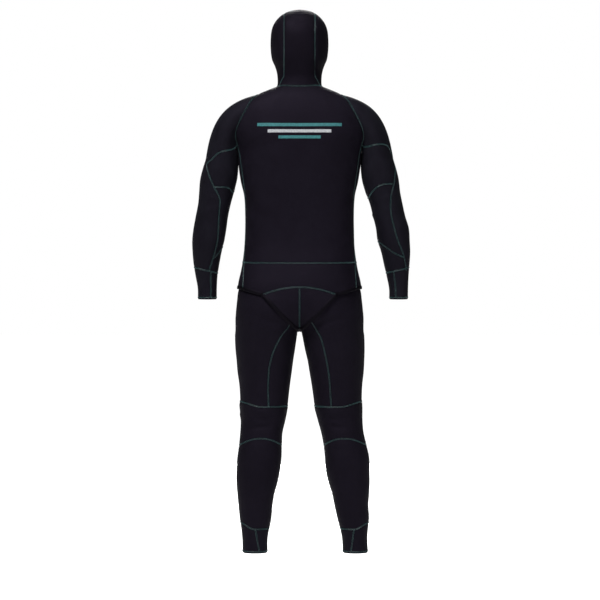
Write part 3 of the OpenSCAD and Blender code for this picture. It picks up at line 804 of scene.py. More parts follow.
class Nodes:
    """Small helper for node trees: add a node with its inputs set or linked."""

    def __init__(self, name):
        self.material = bpy.data.materials.new(name)
        self.material.use_nodes = True
        self.tree = self.material.node_tree
        self.shader = self.tree.nodes["Principled BSDF"]
        self.place = self.add("ShaderNodeTexCoord").outputs["Object"]

    def add(self, kind, inputs=(), **settings):
        node = self.tree.nodes.new(kind)
        for key, value in settings.items():
            setattr(node, key, value)
        self.feed(node, dict(inputs))
        return node

    def feed(self, node, inputs):
        for key, value in inputs.items():
            if isinstance(value, bpy.types.NodeSocket):
                self.tree.links.new(value, node.inputs[key])
            else:
                node.inputs[key].default_value = value

    def noise(self, where, scale, detail=3.0, roughness=0.5):
        return self.add("ShaderNodeTexNoise", {
            "Vector": where, "Scale": scale, "Detail": detail, "Roughness": roughness,
        }).outputs["Fac"]

    def ramp(self, value, low, high, out_low=0.0, out_high=1.0):
        return self.add("ShaderNodeMapRange", {
            "Value": value, "From Min": low, "From Max": high,
            "To Min": out_low, "To Max": out_high,
        }).outputs["Result"]

    def blend(self, factor, a, b):
        node = self.add("ShaderNodeMix", data_type="RGBA")
        self.feed(node, {0: factor, 6: a, 7: b})
        return node.outputs[2]

    def math(self, operation, a, b=0.0):
        return self.add("ShaderNodeMath", {0: a, 1: b}, operation=operation).outputs[0]

    def finish(self, tone, dark, light, worn, low, high, relief, depth, strength, more=()):
        """Colour between two by tone, roughness between two by worn, and a fine relief."""
        self.feed(self.shader, {
            "Base Color": self.blend(tone, rgba(*dark), rgba(*light)),
            "Roughness": self.ramp(worn, 0.3, 0.7, low, high),
            "Normal": self.bump(relief, depth, strength),
            **dict(more),
        })
        return self.material

    def bump(self, height, distance, strength=1.0, below=None):
        inputs = {"Height": height, "Distance": distance, "Strength": strength}
        if below is not None:
            inputs["Normal"] = below
        return self.add("ShaderNodeBump", inputs).outputs["Normal"]


def rgba(r, g, b):
    return (r, g, b, 1.0)


def jersey(name, dark, light, sheen=0.012, tint=(0.62, 0.6, 0.75)):
    """Nylon jersey laminated to neoprene: fine wales and courses, soft sheen, faint wear."""
    n = Nodes(name)
    uv = n.add("ShaderNodeUVMap", uv_map="knit").outputs["UV"]
    wales = n.add("ShaderNodeTexWave", {"Vector": uv, "Scale": 330.0, "Distortion": 0.35,
                                        "Detail": 1.0}, bands_direction="X").outputs["Fac"]
    courses = n.add("ShaderNodeTexWave", {"Vector": uv, "Scale": 240.0, "Distortion": 0.6,
                                          "Detail": 1.0}, bands_direction="Y").outputs["Fac"]
    knit = n.math("MULTIPLY", wales, courses)
    cloud = n.noise(n.place, 5.5, 4.0, 0.6)
    patches = n.noise(n.place, 22.0, 5.0, 0.65)
    lint = n.noise(n.place, 900.0, 2.0, 0.7)
    wear = n.ramp(n.math("MULTIPLY", cloud, patches), 0.18, 0.36)
    base = n.blend(n.math("MULTIPLY", wear, 0.5), rgba(*dark), rgba(*light))
    fleck = n.ramp(lint, 0.66, 0.8, 0.0, 0.35)
    colour = n.blend(fleck, base, rgba(*[c * 2.4 for c in light]))
    rough = n.ramp(patches, 0.3, 0.7, 0.60, 0.78)
    soft = n.bump(cloud, 0.0012, 0.35)
    relief = n.bump(knit, 0.00022, 0.55, soft)
    n.feed(n.shader, {
        "Base Color": colour, "Roughness": rough, "Normal": relief,
        "Specular IOR Level": 0.10, "Specular Tint": rgba(0.8, 0.66, 1.0),
        "Sheen Weight": sheen, "Sheen Roughness": 0.4,
        "Sheen Tint": rgba(*tint),
    })
    return n.material


def smooth_skin(name):
    """Uncovered neoprene with its moulded skin: dark, satin, finely dimpled."""
    n = Nodes(name)
    pits = n.add("ShaderNodeTexVoronoi", {"Vector": n.place, "Scale": 620.0}).outputs["Distance"]
    smear = n.noise(n.place, 60.0, 4.0)
    return n.finish(smear, (0.006, 0.006, 0.008), (0.012, 0.012, 0.015), smear, 0.34, 0.5,
                    pits, 0.00012, 0.5, {"Specular IOR Level": 0.28})


def thread(name, colour, light):
    """Twisted thread: darker and lighter along its length."""
    n = Nodes(name)
    twist = n.noise(n.place, 1400.0, 2.0)
    return n.finish(twist, colour, light, twist, 0.4, 0.6, twist, 0.0001, 0.4,
                    {"Specular IOR Level": 0.45, "Sheen Weight": 0.2})


def steel(name):
    """Satin stainless steel, brushed along X, with faint handling marks."""
    n = Nodes(name)
    along = n.add("ShaderNodeMapping", {"Vector": n.place, "Scale": (60.0, 2400.0, 2400.0)})
    brushed = n.noise(along.outputs["Vector"], 1.0, 4.0)
    marks = n.noise(n.place, 240.0, 3.0)
    return n.finish(marks, (0.13, 0.128, 0.12), (0.2, 0.197, 0.188), brushed, 0.42, 0.56,
                    brushed, 0.00005, 0.5, {"Metallic": 1.0})


def flat_print(name, colour, light):
    """Slightly raised transfer print, matt and a little cracked."""
    n = Nodes(name)
    crack = n.noise(n.place, 300.0, 5.0, 0.7)
    return n.finish(n.ramp(crack, 0.4, 0.62), colour, light, crack, 0.55, 0.75,
                    crack, 0.0001, 0.4)


def floor_paint(name):
    """Matt white floor, which glows as white as its surroundings to the camera only."""
    n = Nodes(name)
    mottle = n.noise(n.place, 3.0, 3.0)
    seen = n.add("ShaderNodeLightPath").outputs["Is Camera Ray"]
    n.feed(n.shader, {
        "Base Color": n.blend(mottle, rgba(0.88, 0.88, 0.88), rgba(0.92, 0.92, 0.92)),
        "Roughness": 0.8, "Specular IOR Level": 0.1, "Emission Color": rgba(1, 1, 1),
        "Emission Strength": n.math("MULTIPLY", seen, SKY_SEEN),
    })
    return n.material


BODY_CLOTH = jersey("jersey_body", (0.0032, 0.0025, 0.0046), (0.0062, 0.0052, 0.0088))
# Darker copy of the jersey on the hood: painted shade over the whole hood
HOOD_CLOTH_SHADED = jersey("jersey_hood", (0.0022, 0.0017, 0.0031), (0.0042, 0.0034, 0.0060), 0.008)
# Lighter, bluer copy of the jersey on the sleeves: painted highlight for the broad light they catch
SLEEVE_CLOTH_HIGHLIGHTED = jersey("jersey_sleeve", (0.0034, 0.0033, 0.0050), (0.0068, 0.0070, 0.0098), 0.02,
                      (0.58, 0.66, 0.75))
LEG_CLOTH = jersey("jersey_leg", (0.0031, 0.0025, 0.0045), (0.0060, 0.0050, 0.0084))
PAD_CLOTH = jersey("jersey_pad", (0.0028, 0.0027, 0.0036), (0.0052, 0.0050, 0.0064), 0.01)
SKIN = smooth_skin("smooth_skin")
# Near-black tape, darker than the cloth: a real tape whose colour is painted shade along the step of the hem
# and the tail's edges
SHADE_DARK_BINDING = jersey("binding", (0.0008, 0.0008, 0.0010), (0.0016, 0.0015, 0.0020), 0.0)
TEAL = thread("teal_thread", (0.0045, 0.030, 0.032), (0.009, 0.058, 0.060))
STEEL = steel("satin_steel")
PRINT_TEAL = flat_print("print_teal", (0.020, 0.160, 0.170), (0.012, 0.085, 0.092))
PRINT_GREY = flat_print("print_grey", (0.42, 0.43, 0.45), (0.26, 0.27, 0.29))


# ---- Grids of surfaces ----
def steps(count):
    return np.linspace(0, 1, count + 1)


def up_rows(length, low_edge=True, high_edge=True, cell=CELL):
    """Column of fractions up a grid whose length in millimetres sets how fine it is."""
    return spacing(length, low_edge, high_edge, cell)[:, None]


def between(low, high, cell=CELL):
    """Column of heights from low to high, closer at both ends, where the seams are."""
    return mix(low, high, up_rows(high - low, cell=cell))


def across(width, cell=CELL):
    """Row of fractions across a grid whose width in millimetres sets how fine it is."""
    return spacing(width, True, True, cell)[None, :]


SHEETS = {}


def torso_sheet(node, grid, seams="tblr", hems="", side=LEFT):
    """Panel of the jacket's body, kept by its node's name for the edges it shares."""
    SHEETS[node] = Sheet(node + "_cloth", grid, BODY_CLOTH, side, seams=seams, hems=hems,
                         detail=torso_detail, body="torso", nodes=[node])


def hood_sheet(name, grid, seams, nodes, hems="", side=LEFT):
    sheet = Sheet(name + "_cloth", grid, HOOD_CLOTH_SHADED, side, seams=seams, hems=hems, detail=ripple,
                  nodes=nodes)
    bend(sheet.piece, "torso", "hood", HOOD_BEND)
    SHEETS[name] = sheet


def upper_body(node, first):
    """Back or chest panel from the waist seam to the neck, between side seams and armholes."""
    h = between(WAIST_H, NECK_H)
    u = across(420)
    edge = edge_angle(h)
    grid = torso(first + mix(edge, 180 - edge, u), h)
    torso_sheet(node, grid)


def lumbar_low(x):
    """Lower edge of the jacket's back, with the arc that carries the tail."""
    bow = ARC_TOP_H - ARC_DROP * (x / TAIL_W) ** 2
    flat = mix(ARC_TOP_H - ARC_DROP, HEM_H, np.clip((np.abs(x) - TAIL_W) / 65, 0, 1))
    return np.where(np.abs(x) < TAIL_W, bow, flat)


def make_lumbar():
    u = across(340)
    v = up_rows(85)
    phi = mix(edge_angle(LUMBAR_READ_H), 180 - edge_angle(LUMBAR_READ_H), u)
    low = lumbar_low(torso(phi, LUMBAR_READ_H)[..., 0])
    h = mix(low, WAIST_H, v)
    edge = edge_angle(h)
    grid = torso(mix(edge, 180 - edge, u), h)
    torso_sheet("lumbar_panel", grid)


def make_belly():
    h = between(HEM_H, WAIST_H)
    edge = edge_angle(h)
    grid = torso(180 + mix(edge, 180 - edge, across(340)), h)
    torso_sheet("belly_panel", grid, "tlr", "b")


def make_side(side):
    h = between(HEM_H, ARMPIT_H)
    edge = edge_angle(h)
    grid = torso(mix(-edge, edge, across(110)), h) * (side, 1, 1)
    torso_sheet("side_panel_" + SIDE_NAME[side], grid, "tlr", "b", side)


def make_chest_pad():
    """Ribbed loading pad glued on the chest."""
    h = np.linspace(PAD_LOW_H, PAD_HIGH_H, 101)[:, None]
    u = np.linspace(0, 1, 31)[None, :]
    rib = 0.5 + 0.5 * np.cos(2 * np.pi * (h - PAD_LOW_H) / PAD_RIB_PITCH)
    margin = np.minimum(np.minimum(u, 1 - u) * PAD_WIDTH, np.minimum(h - PAD_LOW_H, PAD_HIGH_H - h))
    thick = (1.6 + 1.6 * rib) * ease(margin / 6)
    grid = torso(mix(*PAD_ANGLES, u), h)
    grid = grid + normals_of(grid, False) * (torso_detail(grid) + 0.4 + thick)[..., None]
    pad = Sheet("chest_pad_ribbed", grid, PAD_CLOTH, thick=2.5, seams="", body="torso",
                nodes=["chest_pad"])


def make_trouser_waist():
    """High waist of the trousers, worn inside the jacket."""
    h = between(SEAT_TOP_H + 2, WAIST_TOP_H, 9)
    phi = np.arange(0, 360, 4)[None, :]
    grid = torso(phi, h, -SHEET - WAIST_GAP)
    Sheet("trouser_waist", grid, LEG_CLOTH, ring=True, thick=SHEET - 1, seams="", hems="t",
          body="torso", nodes=["trouser_waist_front", "trouser_waist_back"])


def make_tail(side):
    r = up_rows(100)[::-1]
    q = across(118)[:, ::-1]
    grid = tail(side, np.clip(q, 0, 0.985), r)
    name = "tail_panel_" + SIDE_NAME[side]
    sheet = Sheet(name + "_cloth", grid, BODY_CLOTH, side, seams="tr", hems="b",
                  detail=lambda p: 0.5 * ripple(p), weights=hip_weight(grid), nodes=[name])
    sheet.bend_by_weights("torso", "thigh_" + SIDE_NAME[side])
    SHEETS[name] = sheet


def strip(path):
    """Grid of a strap that follows a path of depth, height and half-width."""
    path = np.asarray(path, float)
    gaps = np.hypot(*np.diff(path[:, :2], axis=0).T)
    run = np.r_[0, np.cumsum(gaps)]
    table = np.column_stack([run, path])
    at = run[-1] * spacing(run[-1], True, True, STRAP_CELL)
    rows = read(table, at)
    x = (2 * across(60, STRAP_CELL) - 1) * rows[:, 3:4]
    y = rows[:, 1:2] - np.tanh(rows[:, 1:2] / 30) * STRAP_BOW * x**2
    return joined(x, y, rows[:, 2:3])


def cut_slots(piece):
    """Cuts the two slots that the turn buttons pass through."""
    lock_x, _, lock_z = np.mean(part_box("turn_button_left"), axis=0)
    for side in (LEFT, RIGHT):
        bpy.ops.mesh.primitive_cube_add(size=1)
        cutter = bpy.context.object
        cutter.scale = SLOT_SIZE
        cutter.location = (side * lock_x, FLAP_Y, lock_z)
        cut = piece.modifiers.new("slot", "BOOLEAN")
        cut.object = cutter
        cut.solver = "EXACT"
        bpy.context.view_layer.update()
        solved = piece.evaluated_get(bpy.context.evaluated_depsgraph_get())
        mesh = bpy.data.meshes.new_from_object(solved)
        piece.modifiers.clear()
        piece.data = mesh
        bpy.data.objects.remove(cutter)


def make_tail_front():
    gusset = Sheet("tail_gusset_cloth", strip(GUSSET), BODY_CLOTH, thick=SHEET - 1, seams="",
                   hems="lr", body="torso", nodes=["tail_gusset"])
    flap = Sheet("tail_flap_cloth", strip(FLAP), BODY_CLOTH, seams="", hems="tlr",
                 nodes=["tail_flap"])
    cut_slots(flap.piece)
    bend(flap.piece, "torso", "tail_flap", FLAP_BEND)
    SHEETS["gusset"], SHEETS["flap"] = gusset, flap


# ---- Hood ----
def strip_edge(h):
    """Half-width of the hood's centre panel, which flares where it meets the neck seam."""
    return STRIP_X + (STRIP_FOOT_X - STRIP_X) * ease((1590 - h) / 38)


def back_angle(table, n, x, h):
    """Angle on the back of the jacket or hood where the distance out is x."""
    a = angle_at(read(table, h)[..., 1], x, n)
    return np.where(x >= 0, a, 180 - a)


def front_angle(x, h):
    """Angle on the front of the hood where the distance out is x."""
    a = angle_at(read(HOOD, h)[..., 1], x, HEAD_N)
    return np.where(x >= 0, 360 - a, 180 + a)


def hood_front(x, h):
    """Depth of the hood's front at a distance out and a height."""
    rows = read(HOOD, h)
    middle, half = halves(rows)
    return middle - half * np.maximum(1 - (np.abs(x) / rows[..., 1]) ** HEAD_N, 0) ** (1 / HEAD_N)


def make_hood_centre():
    """Panel from the nape over the crown to the brow edge of the face opening."""
    u = across(96)
    q = 1 - 2 * u
    low_h = mix(NECK_H, NAPE_H, up_rows(NAPE_H - NECK_H, True, False))
    x = q * strip_edge(low_h)
    low = hood(back_angle(HOOD, HEAD_N, x, low_h), low_h)
    x = STRIP_X * q
    start = hood(back_angle(HOOD, HEAD_N, x, NAPE_H), NAPE_H)
    first = np.degrees(np.arctan2(start[..., 2] - HEAD_H, start[..., 1] - HEAD_Y))
    brow_h = OPENING_H + OPENING_R * np.sqrt(1 - (x / OPENING_W) ** 2)
    last = np.degrees(np.arctan2(brow_h - HEAD_H, hood_front(x, brow_h) - HEAD_Y))
    v = up_rows(330, False, True)[1:]
    high = hood_ray(x, mix(first, last, v))
    grid = np.concatenate([low, high])
    hood_sheet("hood_centre", grid, "blr", ["hood_centre_panel", "hood_neck"], "t")


def hood_side_top():
    """Height at which the hood is as wide as its centre panel."""
    levels = np.linspace(1775, 1790, 301)
    return float(levels[np.argmin(np.abs(read(HOOD, levels)[:, 1] - STRIP_X - 0.6))])


def make_hood_side(side):
    h = between(NECK_H, hood_side_top())
    width = read(HOOD, h)[..., 1]
    front_x = np.maximum(STRIP_X, opening_x(h))
    front = -angle_at(width, front_x, HEAD_N)
    back = angle_at(width, strip_edge(h), HEAD_N)
    u = across(150)
    grid = hood(mix(front, back, u), h) * (side, 1, 1)
    name = "hood_side_" + SIDE_NAME[side]
    hood_sheet(name, grid, "br", [name], side=side)


def make_hood_chin():
    u, v = across(96), up_rows(80)
    x = mix(-STRIP_X, STRIP_X, u)
    h = mix(NECK_H, opening_low(x), v)
    grid = hood(front_angle(x, h), h)
    hood_sheet("hood_chin", grid, "blr", ["hood_chin_panel"], "t")


def opening_edge(angle, spread):
    """Point on the hood round the face opening, spread outwards from its edge."""
    h = OPENING_H + (OPENING_R + spread) * sind(angle)
    x = (OPENING_W + spread) * cosd(angle)
    return joined(x, hood_front(x, h), h)


def make_face_seal():
    """Smooth-skin band round the face opening, with a rolled edge."""
    spread = np.linspace(15, -1.5, 9)[:, None]
    angle = np.arange(0, 360, 3)[None, :]
    grid = opening_edge(angle, spread)
    base = normals_of(grid, True)
    lift = 1.1 * ease(np.minimum(15 - spread, 4) / 4)
    sheet = Sheet("face_band", grid + base * lift[..., None], SKIN, ring=True, thick=1.4,
                  seams="", body="hood")
    bead = Threads("face_seal_bead", SKIN, "smooth_skin")
    edge = opening_edge(np.arange(0, 363, 3.0), -1.0)
    bead.binding((edge, base[0][np.r_[0:120, 0]], None), 3.3, lift=-1.6)
    piece = bead.make()
    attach(piece, "hood")
    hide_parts("face_seal")


# ---- Sleeves ----
def back_seam(side, g):
    return read(SLEEVE_BACK[side], g)[..., 1]


def front_seam(g):
    return read(SLEEVE_FRONT, g)[..., 1]


def elbow_top(side, theta):
    """Upper edge of the inner elbow panel, from the back seam round to the front one."""
    if side == LEFT:
        return 1249 - 17 * np.exp(-(((theta - 162) / 26) ** 2))
    return 1259 - 44 * ease((theta - 75) / 95)


def elbow_low(side, theta):
    """Lower edge of the inner elbow panel, rising from the back seam to the inside."""
    if side == LEFT:
        return 1027 + 37 * ease((theta - 108) / 70)
    return 1034 + 46 * ease((theta - 60) / 110)


def cuff_top(theta):
    return 992 + 9 * cosd(theta)


def sleeve_split(_):
    return SLEEVE_SPLIT_H


def cap_edge(_):
    return CAP_TOP


def inner_end(g):
    return 360 + front_seam(g)


def sleeve_grid(side, low, high, first, last, u, v):
    """Grid between two heights and two seams, where each may depend on the other."""
    guess = mix(first(low(0)), last(low(0)), u)
    h = mix(low(guess), high(guess), v)
    theta = mix(first(h), last(h), u)
    h = mix(low(theta), high(theta), v)
    theta = mix(first(h), last(h), u)
    return arm(side, theta, h), theta, h


def make_sleeve(side):
    label = SIDE_NAME[side]
    upper, lower = "upper_arm_" + label, "forearm_" + label
    seam, top, low_edge = (partial(f, side) for f in (back_seam, elbow_top, elbow_low))

    def put(name, low, high, first, last, width, height, seams, nodes):
        u = across(width)
        v = up_rows(height, "b" in seams, "t" in seams)
        grid, theta, h = sleeve_grid(side, low, high, first, last, u, v)
        weights = arm_weight(theta, h) if high is cap_edge else None
        sheet = Sheet(name + "_" + label, grid, SLEEVE_CLOTH_HIGHLIGHTED, side, seams=seams,
                      detail=arm_detail(side, h), weights=weights,
                      nodes=[n + "_" + label for n in nodes])
        if weights is None:
            bend(sheet.piece, upper, lower, ELBOW_BEND)
        else:
            sheet.bend_by_weights("torso", upper)

    put("sleeve_outer_cloth", sleeve_split, cap_edge, front_seam, seam, 300, 330, "lr",
        ["sleeve_outer", "shoulder"])
    put("sleeve_inner_cloth", top, cap_edge, seam, inner_end, 150, 200, "blr",
        ["sleeve_inner"])
    put("forearm_outer_cloth", cuff_top, sleeve_split, front_seam, seam, 170, 235, "blr",
        ["forearm_outer", "elbow"])
    put("elbow_panel_cloth", low_edge, top, seam, inner_end, 150, 190, "btlr", [])
    put("forearm_inner_cloth", cuff_top, low_edge, seam, inner_end, 130, 60, "btlr",
        ["forearm_inner"])

    theta = np.arange(0, 360, 5)[None, :]
    v = up_rows(84)
    h = mix(WRIST_HEM_H, cuff_top(theta), v)
    Sheet("cuff_cloth_" + label, arm(side, theta, h), SLEEVE_CLOTH_HIGHLIGHTED, side, ring=True,
          seams="t", hems="b", detail=arm_detail(side, h), body=lower, nodes=["cuff_" + label])
    make_seal("wrist_seal_" + label, lower, flare=3.6)


def make_seal(node, body, flare):
    """Smooth-skin seal: a thin tube turned in under the hem, glued to the lining."""
    low, high = (np.array(c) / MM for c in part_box(node))
    centre = (low + high) / 2
    radius = (high[0] - low[0]) / 2
    rise = up_rows(high[2] - low[2], cell=3.0)
    phi = np.arange(0, 360, 5)[None, :]
    crease = 0.25 * cosd(phi * 7) * np.sin(rise * 9)
    swell = flare * ease((rise - 0.62) / 0.38)
    r = radius + swell + crease
    grid = joined(centre[0] + r * cosd(phi), centre[1] + r * sind(phi),
                  low[2] + ORIGIN_H + rise * (high[2] - low[2]))
    sheet = Sheet(node + "_skin", grid, SKIN, ring=True, thick=2.2, seams="", hems="b",
                  body=body, nodes=[node])


# ---- Trousers ----
def thigh_seam(side, h):
    return read(THIGH_BACK[side], h)[..., 1]


def knee_top(phi):
    return KNEE_TOP_H + KNEE_TOP_RISE * ease(cosd(phi))


def knee_low(phi):
    return KNEE_LOW_H - KNEE_LOW_DROP * np.where(sind(phi) > 0, cosd(phi) ** 2, 1)


def ankle_seam(phi):
    return ANKLE_SEAM_H + ANKLE_SEAM_RISE * ease(cosd(phi))


def make_trousers(side):
    label = SIDE_NAME[side]
    thigh, shank = "thigh_" + label, "shank_" + label
    detail = leg_detail(side)

    def put(name, phi, h, seams, nodes, low_joint=False, cloth=LEG_CLOTH, relief=None):
        grid = leg(side, phi, h)
        shape = detail if relief is None else lambda p: detail(p) + relief
        weights = None if low_joint else hip_weight(grid)
        sheet = Sheet(name + "_" + label, grid, cloth, side, seams=seams, detail=shape,
                      weights=weights, nodes=[n + "_" + label for n in nodes])
        if low_joint:
            bend(sheet.piece, thigh, shank, KNEE_BEND)
        else:
            sheet.bend_by_weights("torso", thigh)

    u = across(190)
    v = up_rows(360, True, False)
    guess = mix(-90, 100, u)
    h = mix(knee_top(guess), SEAT_TOP_H, v)
    phi = mix(-90, thigh_seam(side, h), u)
    put("thigh_outer_cloth", phi, mix(knee_top(phi), SEAT_TOP_H, v), "blr",
        ["thigh_outer", "seat"])

    v = up_rows(245, True, False)
    guess = mix(100, 270, u)
    h = mix(knee_top(guess), CROTCH_H, v)
    phi = mix(thigh_seam(side, h), 270, u)
    put("thigh_inner_cloth", phi, mix(knee_top(phi), CROTCH_H, v), "blr", ["thigh_inner"])

    h = mix(CROTCH_H, SEAT_TOP_H, up_rows(128, False, False))
    reach = hip_limit(np.maximum(h, CROTCH_H + 0.01))
    u = across(90)
    put("seat_back_cloth", mix(thigh_seam(side, h), reach, u), h, "lr", [])
    put("seat_front_cloth", mix(-reach, -90, u), h, "lr", [])

    u, v = across(200), up_rows(110, cell=4.5)
    phi = 180 * u
    put("knee_back_cloth", phi, mix(knee_low(phi), knee_top(phi), v), "btlr",
        ["knee_back"], True)
    u, v = across(200, 4.0), up_rows(130, cell=1.8)
    phi = 180 + 180 * u
    h = mix(knee_low(phi), knee_top(phi), v)
    wide, tall = KNEE_PAD_SIZE
    margin = np.minimum(np.minimum(u, 1 - u) * wide, np.minimum(v, 1 - v) * tall)
    ribs = (1.2 + 1.0 * np.cos(2 * np.pi * v * KNEE_RIBS)) * ease((margin - 3) / 8)
    put("knee_pad_ribbed", phi, h, "btlr", ["knee_pad"], True, PAD_CLOTH, ribs)

    u, v = across(200), up_rows(270)
    phi = 180 * u
    put("calf_cloth", phi, mix(ankle_seam(phi), knee_low(phi), v), "btlr",
        ["calf_panel"], True)
    phi = 180 + 180 * u
    put("shin_cloth", phi, mix(ankle_seam(phi), knee_low(phi), v), "btlr",
        ["shin_panel"], True)

    phi = np.arange(0, 360, 4)[None, :]
    v = up_rows(78)
    grid = leg(side, phi, mix(ANKLE_HEM_H, ankle_seam(phi), v))
    Sheet("ankle_cuff_cloth_" + label, grid, LEG_CLOTH, side, ring=True, seams="t", hems="b",
          detail=detail, body=shank, nodes=["ankle_cuff_" + label])
    make_seal("ankle_seal_" + label, shank, flare=2.8)


upper_body("back_panel", 0)
upper_body("chest_panel", 180)
make_lumbar()
make_belly()
make_chest_pad()
make_trouser_waist()
make_tail_front()
make_hood_centre()
make_hood_chin()
make_face_seal()
for SIDE in (LEFT, RIGHT):
    make_side(SIDE)
    make_tail(SIDE)
    make_hood_side(SIDE)
    make_sleeve(SIDE)
    make_trousers(SIDE)


# ---- Seams ----
def sunk(line):
    points, normals, weights = line
    return points + normals * STITCH_SINK, normals, weights


def torso_line(phi, h):
    return sunk(surface_line(torso, phi, h, torso_detail))


def arm_line(side, theta, g):
    weights = arm_weight(theta, g)
    line = surface_line(partial(arm, side), theta, g, arm_detail(side, g), weights, side == RIGHT)
    return sunk(line)


def leg_line(side, phi, h):
    return sunk(surface_line(partial(leg, side), phi, h, leg_detail(side), None, side == RIGHT))


def hood_line(phi, h):
    return sunk(surface_line(hood, phi, h, ripple))


def tail_middle(r):
    """Centre seam of the tail's back, at fractions down from the arc."""
    return tail(LEFT, np.full(len(r), 0.004), r) * (0, 1, 1)


def armhole_line(side):
    """Armhole seam with the normals of the sleeve beside it."""
    theta = np.linspace(0, 360, 145)
    beside = np.full(145, CAP_TOP - 1.5)
    _, normals, _ = surface_line(partial(arm, side), theta, beside, flip=side == RIGHT)
    return armhole(side, theta), normals


def stitch_body():
    seams = Threads("stitches_body", TEAL)
    phi = np.linspace(0, 360, 181)
    seams.flatlock(torso_line(phi, np.full(181, WAIST_H)))
    h = np.linspace(HEM_H + 5, ARMPIT_H, 120)
    for first in (0, 180):
        seams.flatlock(torso_line(first + edge_angle(h), h))
        seams.flatlock(torso_line(first + 180 - edge_angle(h), h))
    h = np.linspace(SHOULDER_H, NECK_H - 2, 12)
    for angle in (0.0, 180.0):
        seams.flatlock(torso_line(np.full(12, angle), h))
    for side in (LEFT, RIGHT):
        edge, normals = armhole_line(side)
        lifted = edge + normals * (torso_detail(edge) + STITCH_SINK)[:, None]
        seams.flatlock((lifted, normals, None))
    seams.flatlock(hood_line(phi, np.full(181, NECK_H + 0.5)))
    u = np.linspace(0.02, 0.98, 60)
    q = np.abs(2 * u - 1)
    points = tail(LEFT, q * 0.98, np.zeros(60)) * joined(np.where(u < 0.5, LEFT, RIGHT), 1, 1)
    arc_normals = unit(np.array((0.0, 1.0, 0.0)) + points * (0.0025, 0, 0))
    seams.flatlock((points + arc_normals * STITCH_SINK, arc_normals, None))
    r = np.linspace(0.03, 0.97, 50)
    middle = tail_middle(r)
    up = unit(np.tile((0.0, 1.0, -0.25), (50, 1)))
    seams.flatlock((middle + up * STITCH_SINK, up, None))
    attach(seams.make(), "torso")


def stitch_hood():
    seams = Threads("stitches_hood", TEAL)
    for side in (LEFT, RIGHT):
        points, normals, _ = SHEETS["hood_centre"].edge("l" if side == LEFT else "r")
        lifted = points + normals * (ripple(points) + STITCH_SINK)[:, None]
        seams.flatlock((lifted, normals, None))
        points, normals, _ = SHEETS["hood_chin"].edge("r" if side == LEFT else "l")
        seams.flatlock((points + normals * STITCH_SINK, normals, None))
    bend(seams.make(), "torso", "hood", HOOD_BEND)


def stitch_sleeve(side):
    label = SIDE_NAME[side]
    upper = Threads("stitches_upper_arm_" + label, TEAL)
    g = np.linspace(SLEEVE_SPLIT_H, CAP_TOP, 90)
    upper.flatlock(arm_line(side, back_seam(side, g), g))
    upper.flatlock(arm_line(side, front_seam(g), g))
    theta = np.linspace(back_seam(side, elbow_top(side, 110.0)), 360 + front_seam(1240.0), 60)
    upper.flatlock(arm_line(side, theta, elbow_top(side, theta)))
    weights = np.concatenate(upper.weights)
    blend_by_weights(upper.make(), "torso", "upper_arm_" + label, weights)

    lower = Threads("stitches_forearm_" + label, TEAL)
    g = np.linspace(cuff_top(100.0), SLEEVE_SPLIT_H, 80)
    lower.flatlock(arm_line(side, back_seam(side, g), g))
    lower.flatlock(arm_line(side, front_seam(g), g))
    theta = np.linspace(back_seam(side, 1030.0), 360 + front_seam(1045.0), 60)
    lower.flatlock(arm_line(side, theta, elbow_low(side, theta)))
    theta = np.linspace(0, 360, 91)
    lower.flatlock(arm_line(side, theta, cuff_top(theta)))
    low_seam = CUFF_SEAM[side]
    g = np.linspace(WRIST_HEM_H + 9, cuff_top(low_seam), 24)
    lower.flatlock(arm_line(side, np.full(24, low_seam), g))
    lower.flatlock(arm_line(side, theta, np.full(91, WRIST_HEM_H + 6.0)), HEM_STITCH_HALF)
    bend(lower.make(), "upper_arm_" + label, "forearm_" + label, ELBOW_BEND)


def bend_with_hip(threads, label):
    weights = hip_weight(np.concatenate(threads.points))
    blend_by_weights(threads.make(), "torso", "thigh_" + label, weights)


def stitch_leg(side):
    label = SIDE_NAME[side]
    upper = Threads("stitches_thigh_" + label, TEAL)
    h = np.linspace(knee_top(100.0), SEAT_TOP_H - 14, 110)
    upper.flatlock(leg_line(side, thigh_seam(side, h), h))
    upper.flatlock(leg_line(side, np.full(110, -90.0), h))
    phi = np.linspace(0, 360, 121)
    upper.flatlock(leg_line(side, phi, knee_top(phi)))
    bend_with_hip(upper, label)

    lower = Threads("stitches_shank_" + label, TEAL)
    lower.flatlock(leg_line(side, phi, knee_low(phi)))
    lower.flatlock(leg_line(side, phi, ankle_seam(phi)))
    for angle in (0.0, 180.0):
        h = np.linspace(ankle_seam(angle), knee_top(angle) - 2, 110)
        lower.flatlock(leg_line(side, np.full(110, angle), h))
    h = np.linspace(ANKLE_HEM_H + 9, ankle_seam(98.0), 24)
    lower.flatlock(leg_line(side, mix(108.0, 90.0, steps(23)), h))
    lower.flatlock(leg_line(side, phi, np.full(121, ANKLE_HEM_H + 6.0)), HEM_STITCH_HALF)
    bend(lower.make(), "thigh_" + label, "shank_" + label, KNEE_BEND)


